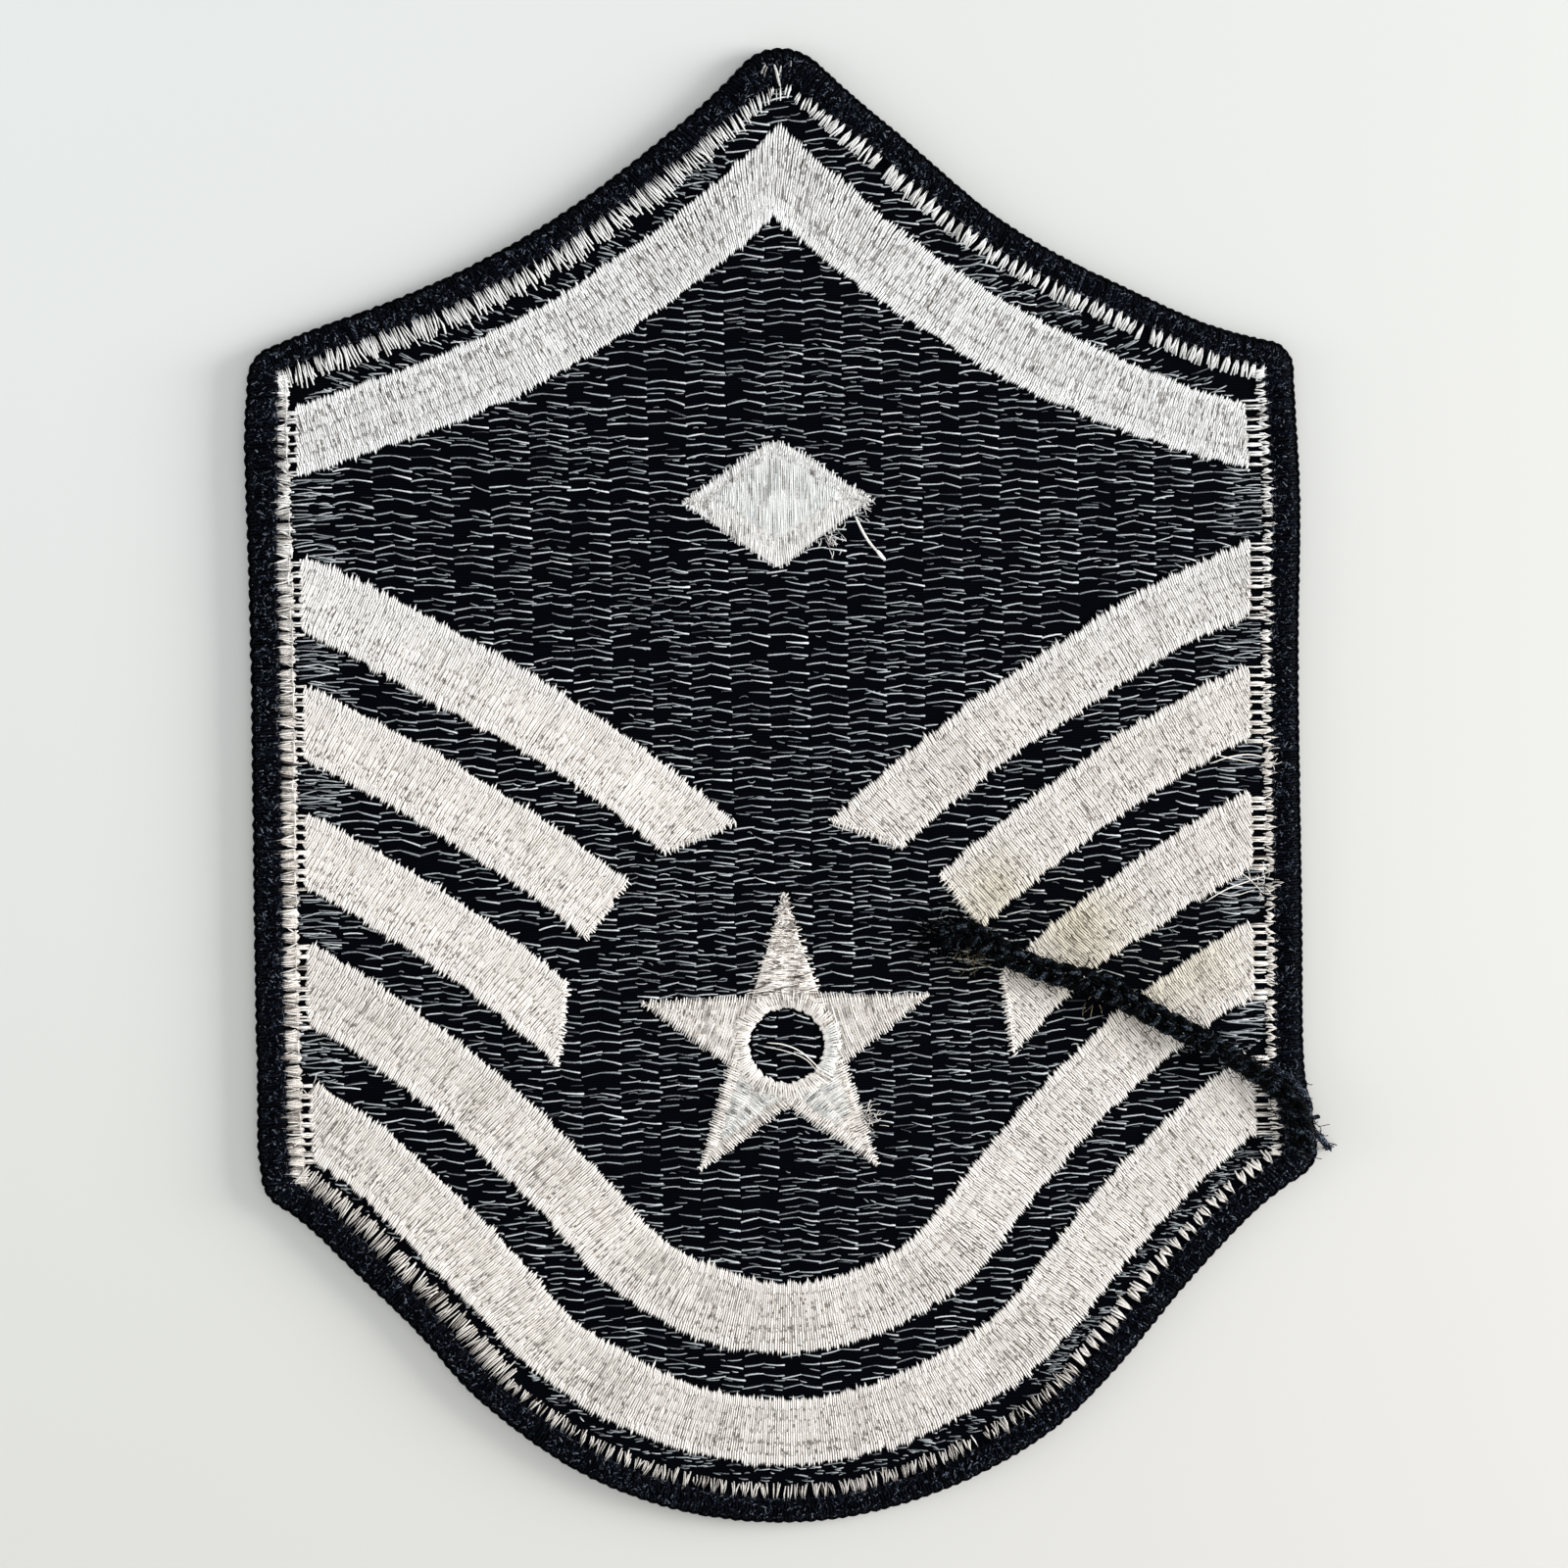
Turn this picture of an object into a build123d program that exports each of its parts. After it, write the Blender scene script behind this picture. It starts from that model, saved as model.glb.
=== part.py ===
from build123d import *
from math import acos, asin, cos, hypot, pi, radians, sin, sqrt, tan
import os

# An embroidered rank patch with an overlocked border, lying on its face with its back up.
# X runs across the patch, Y runs from its foot to its point, and Z runs out of its back.
# The origin is under the middle of the patch, on the surface that its border lies on.

# Driving dimensions, in millimetres and degrees
patch_width = 101.6
cloth_thickness = 1.2
relief = 0.35
seat_gap = 0.05

# The border is a roll of thread round the cloth's edge.
# Its two roundings may take up to these shares of the border's and the wrap's thickness.
border_width = 2.7
wrap_thickness = 0.6
edge_wrap = 0.9
border_rounding = 1.0
rounding_limit = 0.45
lip_rounding = 0.35
lip_limit = 0.7

# The row of stitches just inside the border, and the bare strip inside it
edge_row_width = 1.3
ladder_gap = 0.8

# The outline: point, arms, sides, flanks and foot
apex_radius = 4.7
arm_radius = 95.75
arm_angle = 14.2
flank_radius = 81.0
foot_half_angle = 52.6
corner_radius = 2.8
inner_corner_radius = 0.5

# The stripes: two rockers, three bars on each side and a chevron
band_width = 6.8
band_gap = 4.25
rocker_margin = 1.7
chevron_width = 6.5
chevron_margin = 2.3
chevron_gap = 7.0

# The star, with a ring in its middle, and the room round it
star_radius = 14.6
star_points = 5
star_notch_share = 0.40
star_hole_radius = 3.5
star_rise = 4.0
bowl_margin = 4.6
star_clearance = 7.6

# The lozenge below the chevron
lozenge_width = 17.8
lozenge_height = 12.6
lozenge_drop = 27.1

# The braided tail of the border's thread, glued down across the back.
# Its points run from the lower right corner to the bare end, measured from that corner.
tail_width = 2.8
tail_thickness = 1.6
tail_bend_share = 0.45
tail_route = [
    (-1.5, 1.3),
    (-1.9, 6.7),
    (-6.1, 10.4),
    (-13.2, 14.5),
    (-20.6, 18.1),
    (-27.3, 21.0),
    (-32.5, 24.0),
    (-35.9, 23.9),
]

# What follows from them, in the plane of the patch, with heights taken from its foot
half_width = patch_width / 2
border_thickness = cloth_thickness + 2 * wrap_thickness
row_start = border_width + seat_gap
row_end = row_start + edge_row_width
band_end_x = half_width - row_end - ladder_gap
rocker_inset = row_end + rocker_margin
chevron_inset = row_end + chevron_margin
band_pitch = band_width + band_gap

bowl_radius = star_radius + bowl_margin
foot_radius = bowl_radius + band_width + band_pitch + rocker_inset
foot_centre = (0, foot_radius)
flank_reach = foot_radius + flank_radius
flank_centre = (
    flank_reach * sin(radians(foot_half_angle)),
    foot_radius - flank_reach * cos(radians(foot_half_angle)),
)
star_centre = (0, foot_radius + star_rise)
star_clear_radius = star_radius + star_clearance


def on_circle(centre, radius, x, side):
    """The point of a circle at one x, above its centre where side is 1 and below it where side is -1."""
    return (x, centre[1] + side * sqrt(radius**2 - (x - centre[0]) ** 2))


def towards(start, end, distance):
    """The point that lies a distance from start on the line to end."""
    share = distance / hypot(end[0] - start[0], end[1] - start[1])
    return (start[0] + share * (end[0] - start[0]), start[1] + share * (end[1] - start[1]))


# The stripes above the outer rocker follow it at an even pitch, and the chevron follows the arms
stripe_names = ["outer_rocker", "inner_rocker", "lower_bar", "middle_bar", "upper_bar"]
stripe_radius = {
    name: flank_radius + rocker_inset + number * band_pitch for number, name in enumerate(stripe_names)
}
upper_bar_top = on_circle(flank_centre, stripe_radius["upper_bar"] + band_width, band_end_x, 1)
chevron_outer_radius = arm_radius + chevron_inset
chevron_inner_radius = chevron_outer_radius + chevron_width
arm_centre = (
    band_end_x + chevron_inner_radius * sin(radians(arm_angle)),
    upper_bar_top[1] + chevron_gap + chevron_inner_radius * cos(radians(arm_angle)),
)
apex_centre = (0, arm_centre[1] - sqrt((arm_radius + apex_radius) ** 2 - arm_centre[0] ** 2))
patch_height = apex_centre[1] + apex_radius
chevron_notch = on_circle(arm_centre, chevron_inner_radius, 0, -1)
lozenge_centre = (0, chevron_notch[1] - lozenge_drop)
lower_corner = on_circle(flank_centre, flank_radius, half_width, 1)

# Heights through the patch, from the surface that it lies on
cloth_bottom = wrap_thickness
cloth_top = cloth_bottom + cloth_thickness
face_heights = {
    "back": cloth_top + seat_gap,
    "front": cloth_bottom - seat_gap - relief,
}


def level(z):
    """The plane of a sketch at height z, with its own origin at the foot of the patch."""
    return Plane(origin=(0, -patch_height / 2, z))


def arc_about(centre, start, end):
    """An arc of under half a turn about a centre."""
    radius = hypot(start[0] - centre[0], start[1] - centre[1])
    chord_middle = ((start[0] + end[0]) / 2, (start[1] + end[1]) / 2)
    return ThreePointArc(start, towards(centre, chord_middle, radius), end)


def shield(inset):
    """The patch's outline moved in by inset, as a face."""
    side_x = half_width - inset
    tip_radius = apex_radius - inset
    shoulder = on_circle(arm_centre, arm_radius + inset, side_x, -1)
    corner = on_circle(flank_centre, flank_radius + inset, side_x, 1)
    turn = towards(foot_centre, flank_centre, foot_radius - inset)
    with BuildSketch() as outline:
        with BuildLine():
            if tip_radius > inner_corner_radius:
                arm_start = towards(apex_centre, arm_centre, tip_radius)
                arc_about(apex_centre, (0, apex_centre[1] + tip_radius), arm_start)
            else:
                arm_start = on_circle(arm_centre, arm_radius + inset, 0, -1)
            arc_about(arm_centre, arm_start, shoulder)
            Line(shoulder, corner)
            arc_about(flank_centre, corner, turn)
            arc_about(foot_centre, turn, (0, inset))
            mirror(about=Plane.YZ)
        make_face()
        side_ends = vertices().group_by(Axis.X)
        fillet(side_ends[0] + side_ends[-1], max(corner_radius - inset, inner_corner_radius))
    return outline.sketch


def chevron_face():
    """The stripe under the arms, from side to side."""
    outer_start = on_circle(arm_centre, chevron_outer_radius, 0, -1)
    outer_end = on_circle(arm_centre, chevron_outer_radius, band_end_x, -1)
    inner_end = on_circle(arm_centre, chevron_inner_radius, band_end_x, -1)
    with BuildSketch() as stripe:
        with BuildLine():
            arc_about(arm_centre, outer_start, outer_end)
            Line(outer_end, inner_end)
            arc_about(arm_centre, inner_end, chevron_notch)
            mirror(about=Plane.YZ)
        make_face()
    return stripe.sketch


def rocker_face(name):
    """A stripe that runs round the foot, from side to side."""
    lower = stripe_radius[name]
    upper = lower + band_width
    lower_end = on_circle(flank_centre, lower, band_end_x, 1)
    upper_end = on_circle(flank_centre, upper, band_end_x, 1)
    lower_turn = towards(flank_centre, foot_centre, lower)
    upper_turn = towards(flank_centre, foot_centre, upper)
    with BuildSketch() as stripe:
        with BuildLine():
            arc_about(foot_centre, (0, foot_radius - (flank_reach - lower)), lower_turn)
            arc_about(flank_centre, lower_turn, lower_end)
            Line(lower_end, upper_end)
            arc_about(flank_centre, upper_end, upper_turn)
            arc_about(foot_centre, upper_turn, (0, foot_radius - (flank_reach - upper)))
            mirror(about=Plane.YZ)
        make_face()
    return stripe.sketch


def bar_tip(radius):
    """Where one edge of a bar stops, at the circle that is kept clear round the star."""
    to_star = (star_centre[0] - flank_centre[0], star_centre[1] - flank_centre[1])
    reach = hypot(*to_star)
    open_share = (radius**2 + reach**2 - star_clear_radius**2) / (2 * radius * reach)
    bearing = pi - asin(to_star[1] / reach) - acos(min(1, open_share))
    return (flank_centre[0] + radius * cos(bearing), flank_centre[1] + radius * sin(bearing))


def bar_face(name):
    """A stripe from the right side of the patch to the room round the star."""
    lower = stripe_radius[name]
    upper = lower + band_width
    lower_end = on_circle(flank_centre, lower, band_end_x, 1)
    upper_end = on_circle(flank_centre, upper, band_end_x, 1)
    with BuildSketch() as stripe:
        with BuildLine():
            arc_about(flank_centre, bar_tip(upper), upper_end)
            Line(upper_end, lower_end)
            arc_about(flank_centre, lower_end, bar_tip(lower))
            Line(bar_tip(lower), bar_tip(upper))
        make_face()
    return stripe.sketch


def star_face():
    """A star of straight-sided points with a round hole in its middle."""
    step = pi / star_points
    corners = []
    for number in range(2 * star_points):
        radius = star_radius if number % 2 == 0 else star_radius * star_notch_share
        bearing = pi / 2 + number * step
        corners.append((radius * cos(bearing), radius * sin(bearing)))
    with BuildSketch() as star:
        with Locations(star_centre):
            Polygon(*corners, align=None)
            Circle(star_hole_radius, mode=Mode.SUBTRACT)
    return star.sketch


def lozenge_face():
    """A diamond, wider than it is high."""
    corners = [
        (lozenge_width / 2, 0),
        (0, lozenge_height / 2),
        (-lozenge_width / 2, 0),
        (0, -lozenge_height / 2),
    ]
    with BuildSketch() as diamond:
        with Locations(lozenge_centre):
            Polygon(*corners, align=None)
    return diamond.sketch


def write(part, name):
    """Labels a finished piece and writes it to its file."""
    part.label = name
    export_step(part, f"parts/{name}.step")


os.makedirs("parts", exist_ok=True)

# The cloth, one sheet whose cut edge lies inside the border
with BuildPart() as ground_cloth:
    with BuildSketch(level(cloth_bottom)):
        add(shield(edge_wrap))
    extrude(amount=cloth_thickness)
write(ground_cloth.part, "ground_cloth")

# The border, a rounded roll with a groove for the edge of the cloth
with BuildPart() as merrow_border:
    with BuildSketch(level(0)):
        add(shield(0))
        add(shield(border_width), mode=Mode.SUBTRACT)
    extrude(amount=border_thickness)
    rims = [flat.outer_wire().edges() for flat in faces().filter_by(Plane.XY)]
    fillet(rims, min(border_rounding, rounding_limit * border_thickness))
    lips = [flat.inner_wires().edges() for flat in faces().filter_by(Plane.XY)]
    fillet(lips, min(lip_rounding, lip_limit * wrap_thickness))
    with BuildSketch(level(cloth_bottom - seat_gap)):
        add(shield(edge_wrap - seat_gap))
    extrude(amount=cloth_thickness + 2 * seat_gap, mode=Mode.SUBTRACT)
write(merrow_border.part, "merrow_border")

# The row of stitches that runs round the back, just inside the border
with BuildPart() as edge_row:
    with BuildSketch(level(cloth_top + seat_gap)):
        add(shield(row_start))
        add(shield(row_end), mode=Mode.SUBTRACT)
    extrude(amount=relief)
write(edge_row.part, "edge_row")

# The stripes, the star and the lozenge, stitched through the cloth and raised on both its faces
for face, height in face_heights.items():
    with BuildPart() as chevron:
        with BuildSketch(level(height)):
            add(chevron_face())
        extrude(amount=relief)
    write(chevron.part, f"{face}_chevron")

    for name in ("outer_rocker", "inner_rocker"):
        with BuildPart() as rocker:
            with BuildSketch(level(height)):
                add(rocker_face(name))
            extrude(amount=relief)
        write(rocker.part, f"{face}_{name}")

    for name in ("lower_bar", "middle_bar", "upper_bar"):
        with BuildPart() as right_bar:
            with BuildSketch(level(height)):
                add(bar_face(name))
            extrude(amount=relief)
        write(right_bar.part, f"{face}_{name}_right")

        with BuildPart() as left_bar:
            mirror(right_bar.part, about=Plane.YZ)
        write(left_bar.part, f"{face}_{name}_left")

    with BuildPart() as star:
        with BuildSketch(level(height)):
            add(star_face())
        extrude(amount=relief)
    write(star.part, f"{face}_star")

    with BuildPart() as lozenge:
        with BuildSketch(level(height)):
            add(lozenge_face())
        extrude(amount=relief)
    write(lozenge.part, f"{face}_lozenge")

# The tail, a flattened braid that lies on the border and on the raised stripes.
# Each bend is as large as its two runs allow.
tail_plane = Plane(
    origin=(
        lower_corner[0],
        lower_corner[1] - patch_height / 2,
        border_thickness + seat_gap + tail_thickness / 2,
    )
)
tail_points = [Vector(*point) for point in tail_route]
runs = [after - before for before, after in zip(tail_points, tail_points[1:])]
tail_radii = [
    tail_bend_share * min(before.length, after.length) / tan(radians(before.get_angle(after)) / 2)
    for before, after in zip(runs, runs[1:])
]
with BuildPart() as border_tail:
    with BuildLine(tail_plane) as tail_line:
        FilletPolyline(*tail_route, radius=tail_radii)
    tail_path = tail_line.wire()
    across = (tail_path % 0).cross(tail_plane.z_dir)
    with BuildSketch(Plane(origin=tail_path @ 0, x_dir=across, z_dir=tail_path % 0)):
        Ellipse(tail_width / 2, tail_thickness / 2)
    sweep(path=tail_path)
write(border_tail.part, "border_tail")

tail_tube = pi * tail_width * tail_thickness / 4 * tail_path.length
print("patch height", round(patch_height, 2))
print("tail bend radii", [round(radius, 1) for radius in tail_radii])
print("tail length", round(tail_path.length, 2), "volume share", round(border_tail.part.volume / tail_tube, 4))
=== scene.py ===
from math import acos, asin, atan2, ceil, cos, hypot, pi, radians, sin, sqrt

import bpy
import numpy as np
from mathutils import Matrix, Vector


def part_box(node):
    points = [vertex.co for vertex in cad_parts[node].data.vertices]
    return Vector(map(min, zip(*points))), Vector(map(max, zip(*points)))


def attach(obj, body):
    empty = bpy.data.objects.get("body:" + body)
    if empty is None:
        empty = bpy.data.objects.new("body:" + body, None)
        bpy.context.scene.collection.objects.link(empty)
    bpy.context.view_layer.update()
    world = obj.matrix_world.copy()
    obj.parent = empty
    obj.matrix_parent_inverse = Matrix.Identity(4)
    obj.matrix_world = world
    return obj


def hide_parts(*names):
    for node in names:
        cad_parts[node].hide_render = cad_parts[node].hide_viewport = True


# An embroidered rank patch, lying on its face with its back up.
# Places are worked out in millimetres in the row's frame, and each mesh is written in metres.
MM = 0.001
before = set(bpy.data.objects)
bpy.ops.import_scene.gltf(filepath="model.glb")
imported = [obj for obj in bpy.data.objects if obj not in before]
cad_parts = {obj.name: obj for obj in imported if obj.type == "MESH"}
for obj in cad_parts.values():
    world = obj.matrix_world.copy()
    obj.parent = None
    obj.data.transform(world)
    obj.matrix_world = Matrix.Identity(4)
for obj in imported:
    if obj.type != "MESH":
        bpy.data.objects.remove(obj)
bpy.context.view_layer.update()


def node_box(node):
    """The lowest and highest corner of a CAD node, in millimetres."""
    return [np.array(corner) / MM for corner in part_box(node)]


# Sizes read from the frame
half_width, half_height, border_top = node_box("merrow_border")[1]
cloth_bottom, cloth_top = (corner[2] for corner in node_box("ground_cloth"))
chevron_low, chevron_high = node_box("back_chevron")
star_low, star_high = node_box("back_star")
lozenge_low, lozenge_high = node_box("back_lozenge")
tail_low, tail_high = node_box("border_tail")
band_end_x = chevron_high[0]
row_level = cloth_top + 0.05
BACK_LEVEL = chevron_low[2] + 0.16
FRONT_LEVEL = node_box("front_chevron")[1][2] - 0.16

# The outline and the stripes are arcs about a few centres, with the radii of the CAD model
APEX_RADIUS = 4.7
ARM_RADIUS = 95.75
ARM_ANGLE = radians(14.2)
CORNER_RADIUS = 2.8
FLANK_RADIUS = 81.0
FOOT_RADIUS = 42.8
FOOT_HALF_ANGLE = radians(52.6)
BAND_WIDTH = 6.8
BAND_PITCH = 11.05
ROCKER_INSET = 5.75
CHEVRON_INSET = 6.35
CHEVRON_WIDTH = 6.5
STAR_CLEARANCE = 7.6
STAR_POINTS = 5
STAR_NOTCH_SHARE = 0.40
STAR_HOLE_RADIUS = 3.5
ROCKERS = ("outer_rocker", "inner_rocker")
BARS = ("lower_bar", "middle_bar", "upper_bar")
STRIPES = {name: ROCKER_INSET + number * BAND_PITCH for number, name in enumerate(ROCKERS + BARS)}

foot_centre = np.array((0, FOOT_RADIUS - half_height))
foot_corner = np.array((sin(FOOT_HALF_ANGLE), -cos(FOOT_HALF_ANGLE)))
flank_centre = foot_centre + (FOOT_RADIUS + FLANK_RADIUS) * foot_corner
chevron_inner_radius = ARM_RADIUS + CHEVRON_INSET + CHEVRON_WIDTH
arm_square = np.array((sin(ARM_ANGLE), cos(ARM_ANGLE)))
arm_centre = np.array((band_end_x, chevron_low[1])) + chevron_inner_radius * arm_square
apex_centre = np.array((0, half_height - APEX_RADIUS))
star_radius = (star_high[1] - star_low[1]) / (1 + cos(pi / STAR_POINTS))
star_centre = np.array((0, star_high[1] - star_radius))
lozenge_centre = (lozenge_low + lozenge_high)[:2] / 2
lozenge_half = (lozenge_high - lozenge_low)[:2] / 2


# Directions and lines
def heading(angles):
    """The directions at some bearings."""
    return np.stack((np.cos(angles), np.sin(angles)), -1)


def left_of(directions):
    """Directions turned to the left by a quarter turn."""
    return np.stack((-directions[..., 1], directions[..., 0]), -1)


def unit(vectors):
    return vectors / np.linalg.norm(vectors, axis=-1, keepdims=True)


def raised(plan, heights):
    """Points in space from their plan and their heights."""
    return np.concatenate((plan, np.broadcast_to(heights, plan.shape[:-1])[..., None]), -1)


def nearness(plan, x, y, reach):
    """How near points are to a place, from 1 there down to 0."""
    return np.exp(-((plan[..., 0] - x) ** 2 + (plan[..., 1] - y) ** 2) / (2 * reach**2))


def arc(centre, radius, start, end, count):
    """Points along an arc, from one bearing to another."""
    return centre + radius * heading(np.linspace(start, end, count))


def bearing(centre, point):
    return atan2(point[1] - centre[1], point[0] - centre[0])


def outline():
    """The patch's outer edge, as a closed loop of points from its foot, up its right side and back."""
    corner_x = half_width - CORNER_RADIUS
    shoulder, hip = arm_centre[0] - corner_x, flank_centre[0] - corner_x
    shoulder_y = arm_centre[1] - sqrt((ARM_RADIUS + CORNER_RADIUS) ** 2 - shoulder**2)
    hip_y = flank_centre[1] + sqrt((FLANK_RADIUS + CORNER_RADIUS) ** 2 - hip**2)
    shoulder_centre, hip_centre = np.array((corner_x, shoulder_y)), np.array((corner_x, hip_y))
    turn = FOOT_HALF_ANGLE - pi / 2
    right = np.concatenate((
        arc(foot_centre, FOOT_RADIUS, -pi / 2, turn, 200),
        arc(flank_centre, FLANK_RADIUS, turn + pi, bearing(flank_centre, hip_centre), 200),
        arc(hip_centre, CORNER_RADIUS, bearing(hip_centre, flank_centre), 0, 40),
        arc(shoulder_centre, CORNER_RADIUS, 0, bearing(shoulder_centre, arm_centre), 40),
        arc(arm_centre, ARM_RADIUS, bearing(arm_centre, shoulder_centre) % (2 * pi),
            bearing(arm_centre, apex_centre) % (2 * pi), 300),
        arc(apex_centre, APEX_RADIUS, bearing(apex_centre, arm_centre), pi / 2, 60),
    ))
    left = right[::-1] * (-1, 1)
    return np.concatenate((right, left[1:]))


class Guide:
    """A line to lay stitches along: a place and the direction across it, by the length from its start."""

    def __init__(self, points):
        keep = np.concatenate(([True], np.hypot(*np.diff(points, axis=0).T) > 1e-6))
        self.points = points[keep]
        self.lengths = np.concatenate(([0], np.cumsum(np.hypot(*np.diff(self.points, axis=0).T))))
        self.length = self.lengths[-1]
        self.across = left_of(unit(np.gradient(self.points, axis=0)))

    def along(self, values, station):
        return np.stack([np.interp(station, self.lengths, values[:, axis]) for axis in (0, 1)], -1)

    def place(self, station):
        return self.along(self.points, station)

    def inward(self, station):
        return unit(self.along(self.across, station))

    def inside(self, station, depth):
        """Places at a depth in from the line."""
        return self.place(station) + self.inward(station) * np.reshape(depth, (-1, 1))


edge = Guide(outline())


def foot_inset(points):
    """How far points lie inside the foot and flank arcs, which all the lower stripes follow."""
    x, y = np.abs(points[..., 0]), points[..., 1]
    in_foot = np.arctan2(x, foot_centre[1] - y) < FOOT_HALF_ANGLE
    from_flank = np.hypot(x - flank_centre[0], y - flank_centre[1]) - FLANK_RADIUS
    return np.where(in_foot, FOOT_RADIUS - np.hypot(x, y - foot_centre[1]), from_flank)


def arm_inset(points):
    """How far points lie inside the arcs of the two upper arms."""
    return np.hypot(np.abs(points[..., 0]) - arm_centre[0], points[..., 1] - arm_centre[1]) - ARM_RADIUS


def edge_inset(points):
    """How far points lie inside the patch's outline, for points well away from its corners."""
    inset = np.minimum(foot_inset(points), arm_inset(points))
    return np.minimum(inset, half_width - np.abs(points[..., 0]))


def in_marks(points, margin, past_ends=0.0):
    """Where points lie in a stripe, the star or the lozenge, with each mark grown by a margin.

    The stripes' ends may be moved further out as well."""
    x, y = np.abs(points[..., 0]), points[..., 1]
    inset = foot_inset(points)
    from_star = np.hypot(x, y - star_centre[1])
    found = np.zeros(x.shape, bool)
    for name, start in STRIPES.items():
        inside = (inset > start - margin) & (inset < start + BAND_WIDTH + margin)
        if name in BARS:
            inside &= from_star > star_radius + STAR_CLEARANCE - margin
        found |= inside & (x < band_end_x + margin + past_ends)
    inset = arm_inset(points)
    found |= (inset > CHEVRON_INSET - margin) & (inset < CHEVRON_INSET + CHEVRON_WIDTH + margin)
    away = np.abs(points - lozenge_centre) / lozenge_half
    found |= away.sum(-1) < 1 + margin / lozenge_half[1]
    turned = np.arctan2(x, y - star_centre[1]) % (2 * pi / STAR_POINTS)
    turned = np.minimum(turned, 2 * pi / STAR_POINTS - turned)
    notch = star_radius * STAR_NOTCH_SHARE
    to_notch = np.array((notch * sin(pi / STAR_POINTS), notch * cos(pi / STAR_POINTS) - star_radius))
    out, across = from_star * np.cos(turned) - star_radius, from_star * np.sin(turned)
    side = across * -to_notch[1] + out * to_notch[0]
    in_star = side < margin * hypot(*to_notch)
    return found | in_star & (from_star > STAR_HOLE_RADIUS - margin)


# The real patch is not quite even: parts of it lie a little off the drawn shape, to the right and up
SHIFTS = {
    "columns": ("x", "y", "right", "up", "reach"),
    "rows": [
        (1, 70, 0.85, 0.00, 8.0), (6, 70, 0.30, 0.10, 3.0), (12, 64, 0.40, 0.85, 5.0),
        (15, 58, 0.05, 0.20, 6.0), (-16, 55, 0.12, -0.34, 9.0), (-42, 41, 0.10, 0.40, 8.0),
        (-51, 42, 0.60, -0.45, 3.5), (43, 43, -0.40, -0.55, 7.0), (-51, 18, 0.48, 0.00, 18.0),
        (51, 27, 0.40, 0.00, 7.0), (51, -15, 0.15, 0.00, 12.0), (54, -36, 1.90, 0.00, 3.8),
        (37, -51, 0.40, -0.55, 9.0), (24, -62, 0.12, -0.25, 6.0), (-49, -39, 0.40, 0.20, 5.0),
        (-51, -34, -0.35, 0.00, 3.0), (-18, -52, 0.05, 0.40, 8.0), (-24, -61, 0.10, 0.25, 8.0),
        (-30, -40, 0.00, -0.45, 5.0), (-34, 10, 0.00, -0.45, 5.0), (36, 4, 0.00, 0.35, 7.0),
        (31, -34, 0.00, 0.35, 6.0), (31, -19, 0.00, 0.85, 3.0), (-27, 8, -0.10, -0.34, 6.0),
        (-38, 14, -0.06, -0.20, 5.0), (-37, -1, -0.05, -0.20, 6.0), (-28, -7, -0.05, -0.16, 4.0),
        (28, 9, 0.08, -0.32, 6.0), (41, -24, -0.07, 0.24, 7.0), (-40, -36, 0.04, 0.12, 5.0),
        (-21, -50, -0.22, -0.50, 4.0), (-9, -55, 0.00, -0.45, 4.5), (-8, -45, 0.00, 0.26, 4.0),
        (1, -59, 0.00, -0.34, 4.0), (2, -66, 0.00, -0.14, 4.0), (19, -60, 0.00, 0.30, 3.5),
        (29, -55, -0.15, 0.40, 4.0), (34, -47, -0.15, 0.30, 4.0), (-38, 32, -0.06, 0.33, 5.0),
        (-16, 51, -0.10, 0.24, 3.0), (23, 38, -0.10, -0.25, 4.0), (-36, -51, 0.20, 0.28, 5.0),
        (-48, -40, 0.27, 0.20, 4.0), (-28, -60, 0.08, 0.16, 4.0), (-6, 67, 0.20, -0.24, 5.0),
        (17, 58, 0.12, 0.20, 3.5), (36, 46, 0.05, 0.20, 4.0), (-34, 4, 0.05, 0.28, 2.5),
        (33, 5, 0.00, 0.20, 2.5), (36, 19, 0.00, 0.20, 3.0), (-34, -46, -0.15, -0.33, 3.5),
        (-26, -54, -0.10, -0.28, 4.0), (-18, -60, 0.00, -0.24, 3.5), (19, -47, 0.00, -0.22, 3.5),
        (27, -46, 0.00, 0.24, 2.5), (-45, -12, 0.00, 0.28, 3.0), (31, 8, 0.05, -0.18, 3.5),
        (7, 57, 0.05, 0.18, 3.0),
    ],
}
# Where glue has yellowed the thread round the tail
STAINS = {
    "columns": ("x", "y", "reach", "strength"),
    "rows": [(20.5, -9.5, 2.0, 0.7), (28.5, -13.5, 3.0, 0.8), (17.5, -15.5, 2.4, 1.0), (36.0, -19.5, 2.6, 0.5),
             (41.0, -17.0, 2.5, 0.5), (30.5, -20.0, 2.5, 0.45)],
}


def shift_of(plan):
    """How far the real patch lies off its drawn shape at some points."""
    moved = np.zeros(plan.shape)
    for x, y, right, up, reach in SHIFTS["rows"]:
        moved += nearness(plan, x, y, reach)[..., None] * (right, up)
    return moved


def stain_of(plan):
    stain = np.zeros(plan.shape[:-1])
    for x, y, reach, strength in STAINS["rows"]:
        stain += strength * nearness(plan, x, y, reach)
    return np.clip(stain, 0, 1)


# The camera, as fitted to the photo in the row's frame
CAMERA_TILT = (radians(2.679), radians(4.563), radians(1.062))
CAMERA_SHIFT = (-0.350, -0.812)
CAMERA_DISTANCE = 293.383
FOCAL_PIXELS = 3080.0
PHOTO_SIZE = 1600
SENSOR = 36.0


def camera_turn():
    """The turn from the row's frame to the camera's frame."""
    x, y, z = CAMERA_TILT
    return Matrix.Rotation(z, 3, "Z") @ Matrix.Rotation(x, 3, "X") @ Matrix.Rotation(y, 3, "Y")


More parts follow.
